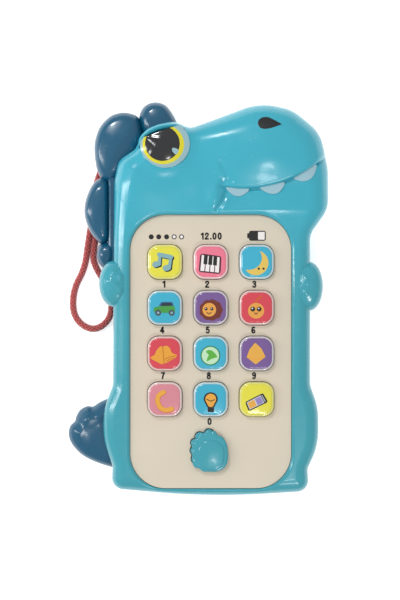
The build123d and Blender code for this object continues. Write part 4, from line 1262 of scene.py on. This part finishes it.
def build_strap(relief, radius=1.4, round_count=20, pitch=2.3):
    """The strap: a tube round the points of its NURBS route. Its radius is lowered between
    threads, by relief times 1 minus the larger of two sine waves that wind opposite ways."""
    curve = bpy.data.curves.new("strap_route", "CURVE")
    curve.dimensions = "3D"
    curve.resolution_u = 24
    spline = curve.splines.new("NURBS")
    spline.points.add(len(STRAP_ROUTE) - 1)
    for point, spot in zip(spline.points, STRAP_ROUTE):
        point.co = (*(Vector(spot) * MM), 1.0)
    spline.order_u = 3
    spline.use_endpoint_u = True
    route = bpy.data.objects.new("strap_route", curve)
    bpy.context.collection.objects.link(route)
    line = bpy.data.meshes.new_from_object(route)
    path = np.empty(len(line.vertices) * 3)
    line.vertices.foreach_get("co", path)
    path = even_steps(path.reshape(-1, 3) / MM, 420, closed=False)
    bpy.data.objects.remove(route)
    bpy.data.curves.remove(curve)
    bpy.data.meshes.remove(line)

    along = unit(np.gradient(path, axis=0))
    side = unit(np.cross(along, np.array([0.0, 0.0, 1.0])))
    above = np.cross(side, along)
    length = np.linalg.norm(np.diff(path, axis=0), axis=1).sum()
    run = np.linspace(0.0, length, len(path))[:, None]
    turn = np.linspace(0, 2 * math.pi, round_count, endpoint=False)[None, :]
    wave = 2 * math.pi * run / pitch
    thread = np.maximum(np.sin(3 * turn + wave), np.sin(3 * turn - wave))
    reach = radius - relief * (1 - thread)
    points = (path[:, None, :] + side[:, None, :] * (reach * np.cos(turn))[..., None]
              + above[:, None, :] * (reach * np.sin(turn))[..., None]).reshape(-1, 3)
    faces = [face[::-1] for face in capped_faces(len(path), round_count)]
    strap = mesh_piece("wrist_strap", [(points, faces, 0)], [FINISHES["strap"]],
                       replaces=["strap"], smooth=180.0)
    uv = strap.data.uv_layers.new(name="UVMap")
    corners = np.empty(len(strap.data.loops), np.int32)
    strap.data.loops.foreach_get("vertex_index", corners)
    spots = np.column_stack([(corners % round_count) / round_count * 2 * math.pi * radius,
                             run[corners // round_count, 0]])
    uv.data.foreach_set("uv", spots.astype(np.float32).ravel())


FLOOR_HALF = 1500.0
FLOOR_DROP = 0.05               # so that no face of the toy lies in the floor's own plane
VIEW_MIDDLE = (-4.24, 20.5, 18.0)                # what the camera and the lamps face
VIEW_WIDTH = 240.0              # how much of the floor the picture takes in
SENSOR_WIDTH = 36.0
SKY_STRENGTH = 0.585
SOFTBOXES = {                   # place, width and height in millimetres, and power in watts
    "left_softbox": ((-420, 60, 300), 50, 420, 0.75),
    "low_softbox": ((130, -330, 420), 110, 70, 0.55),
    "top_softbox": ((-160, 330, 420), 70, 70, 0.70),
    "muzzle_softbox": ((40, -150, 640), 60, 40, 0.14),
}


def build_stage(context, distance):
    """The floor just under the toy, white soft light from all round, and a long lens that
    looks straight down on the face."""
    grid = bpy.data.meshes.new("floor")
    corners = [(x * FLOOR_HALF, y * FLOOR_HALF, -FLOOR_DROP) for x, y in
               ((-1, -1), (1, -1), (1, 1), (-1, 1))]
    grid.from_pydata([Vector(corner) * MM for corner in corners], [], [(0, 1, 2, 3)])
    floor = bpy.data.objects.new("floor", grid)
    context.collection.objects.link(floor)
    material, *_ = new_material(
        "white_card", {"Base Color": linear("#F7F7F7"), "Roughness": 0.9,
                       "Specular IOR Level": 0.1, "Emission Color": (1.0, 1.0, 1.0, 1.0),
                       "Emission Strength": 0.55})
    grid.materials.append(material)

    world = bpy.data.worlds.new("studio")
    world.use_nodes = True
    background = world.node_tree.nodes["Background"].inputs
    background["Color"].default_value = (1.0, 1.0, 1.0, 1.0)
    background["Strength"].default_value = SKY_STRENGTH
    context.scene.world = world
    middle = Vector(VIEW_MIDDLE) * MM
    for name, (place, size_x, size_y, power) in SOFTBOXES.items():
        lamp = bpy.data.lights.new(name, "AREA")
        lamp.shape = "RECTANGLE"
        lamp.size, lamp.size_y, lamp.energy = size_x * MM, size_y * MM, power
        light = bpy.data.objects.new(name, lamp)
        light.location = Vector(place) * MM
        light.rotation_euler = (middle - light.location).to_track_quat("-Z", "Y").to_euler()
        context.collection.objects.link(light)

    lens = bpy.data.cameras.new("camera")
    lens.sensor_width = SENSOR_WIDTH
    lens.lens = SENSOR_WIDTH * distance / (VIEW_WIDTH * MM)
    camera = bpy.data.objects.new("camera", lens)
    camera.location = middle + Vector((0.0, 0.0, distance))
    context.collection.objects.link(camera)
    context.scene.camera = camera
    context.scene.view_settings.view_transform = "Standard"


class TOY_PT_panel(bpy.types.Panel):
    """The operators and settings in the sidebar"""
    bl_idname = "TOY_PT_panel"
    bl_label = "Dinosaur Toy Telephone"
    bl_space_type = "VIEW_3D"
    bl_region_type = "UI"
    bl_category = "Toy Telephone"

    def draw(self, context):
        for operator in OPERATORS:
            self.layout.operator(operator.bl_idname)
        for group in ("sizes", "colours"):
            settings = getattr(context.scene.toy_settings, group)
            for name in settings.bl_rna.properties.keys():
                if name not in ("rna_type", "name"):
                    self.layout.prop(settings, name)


OPERATORS = (TOY_OT_stage, TOY_OT_finishes, TOY_OT_strap, TOY_OT_front_shell, TOY_OT_spines,
             TOY_OT_face, TOY_OT_paw_key, TOY_OT_panel_print, TOY_OT_key_pictures)
CLASSES = (ToySizes, ToyColours, ToySettings, *OPERATORS, TOY_PT_panel)


def register():
    for each in CLASSES:
        bpy.utils.register_class(each)
    bpy.types.Scene.toy_settings = PointerProperty(type=ToySettings)


def unregister():
    del bpy.types.Scene.toy_settings
    for each in reversed(CLASSES):
        bpy.utils.unregister_class(each)


def main():
    register()
    for operator in OPERATORS:
        group, name = operator.bl_idname.split(".")
        getattr(getattr(bpy.ops, group), name)()
    bpy.context.view_layer.update()


if __name__ == "__main__":
    main()
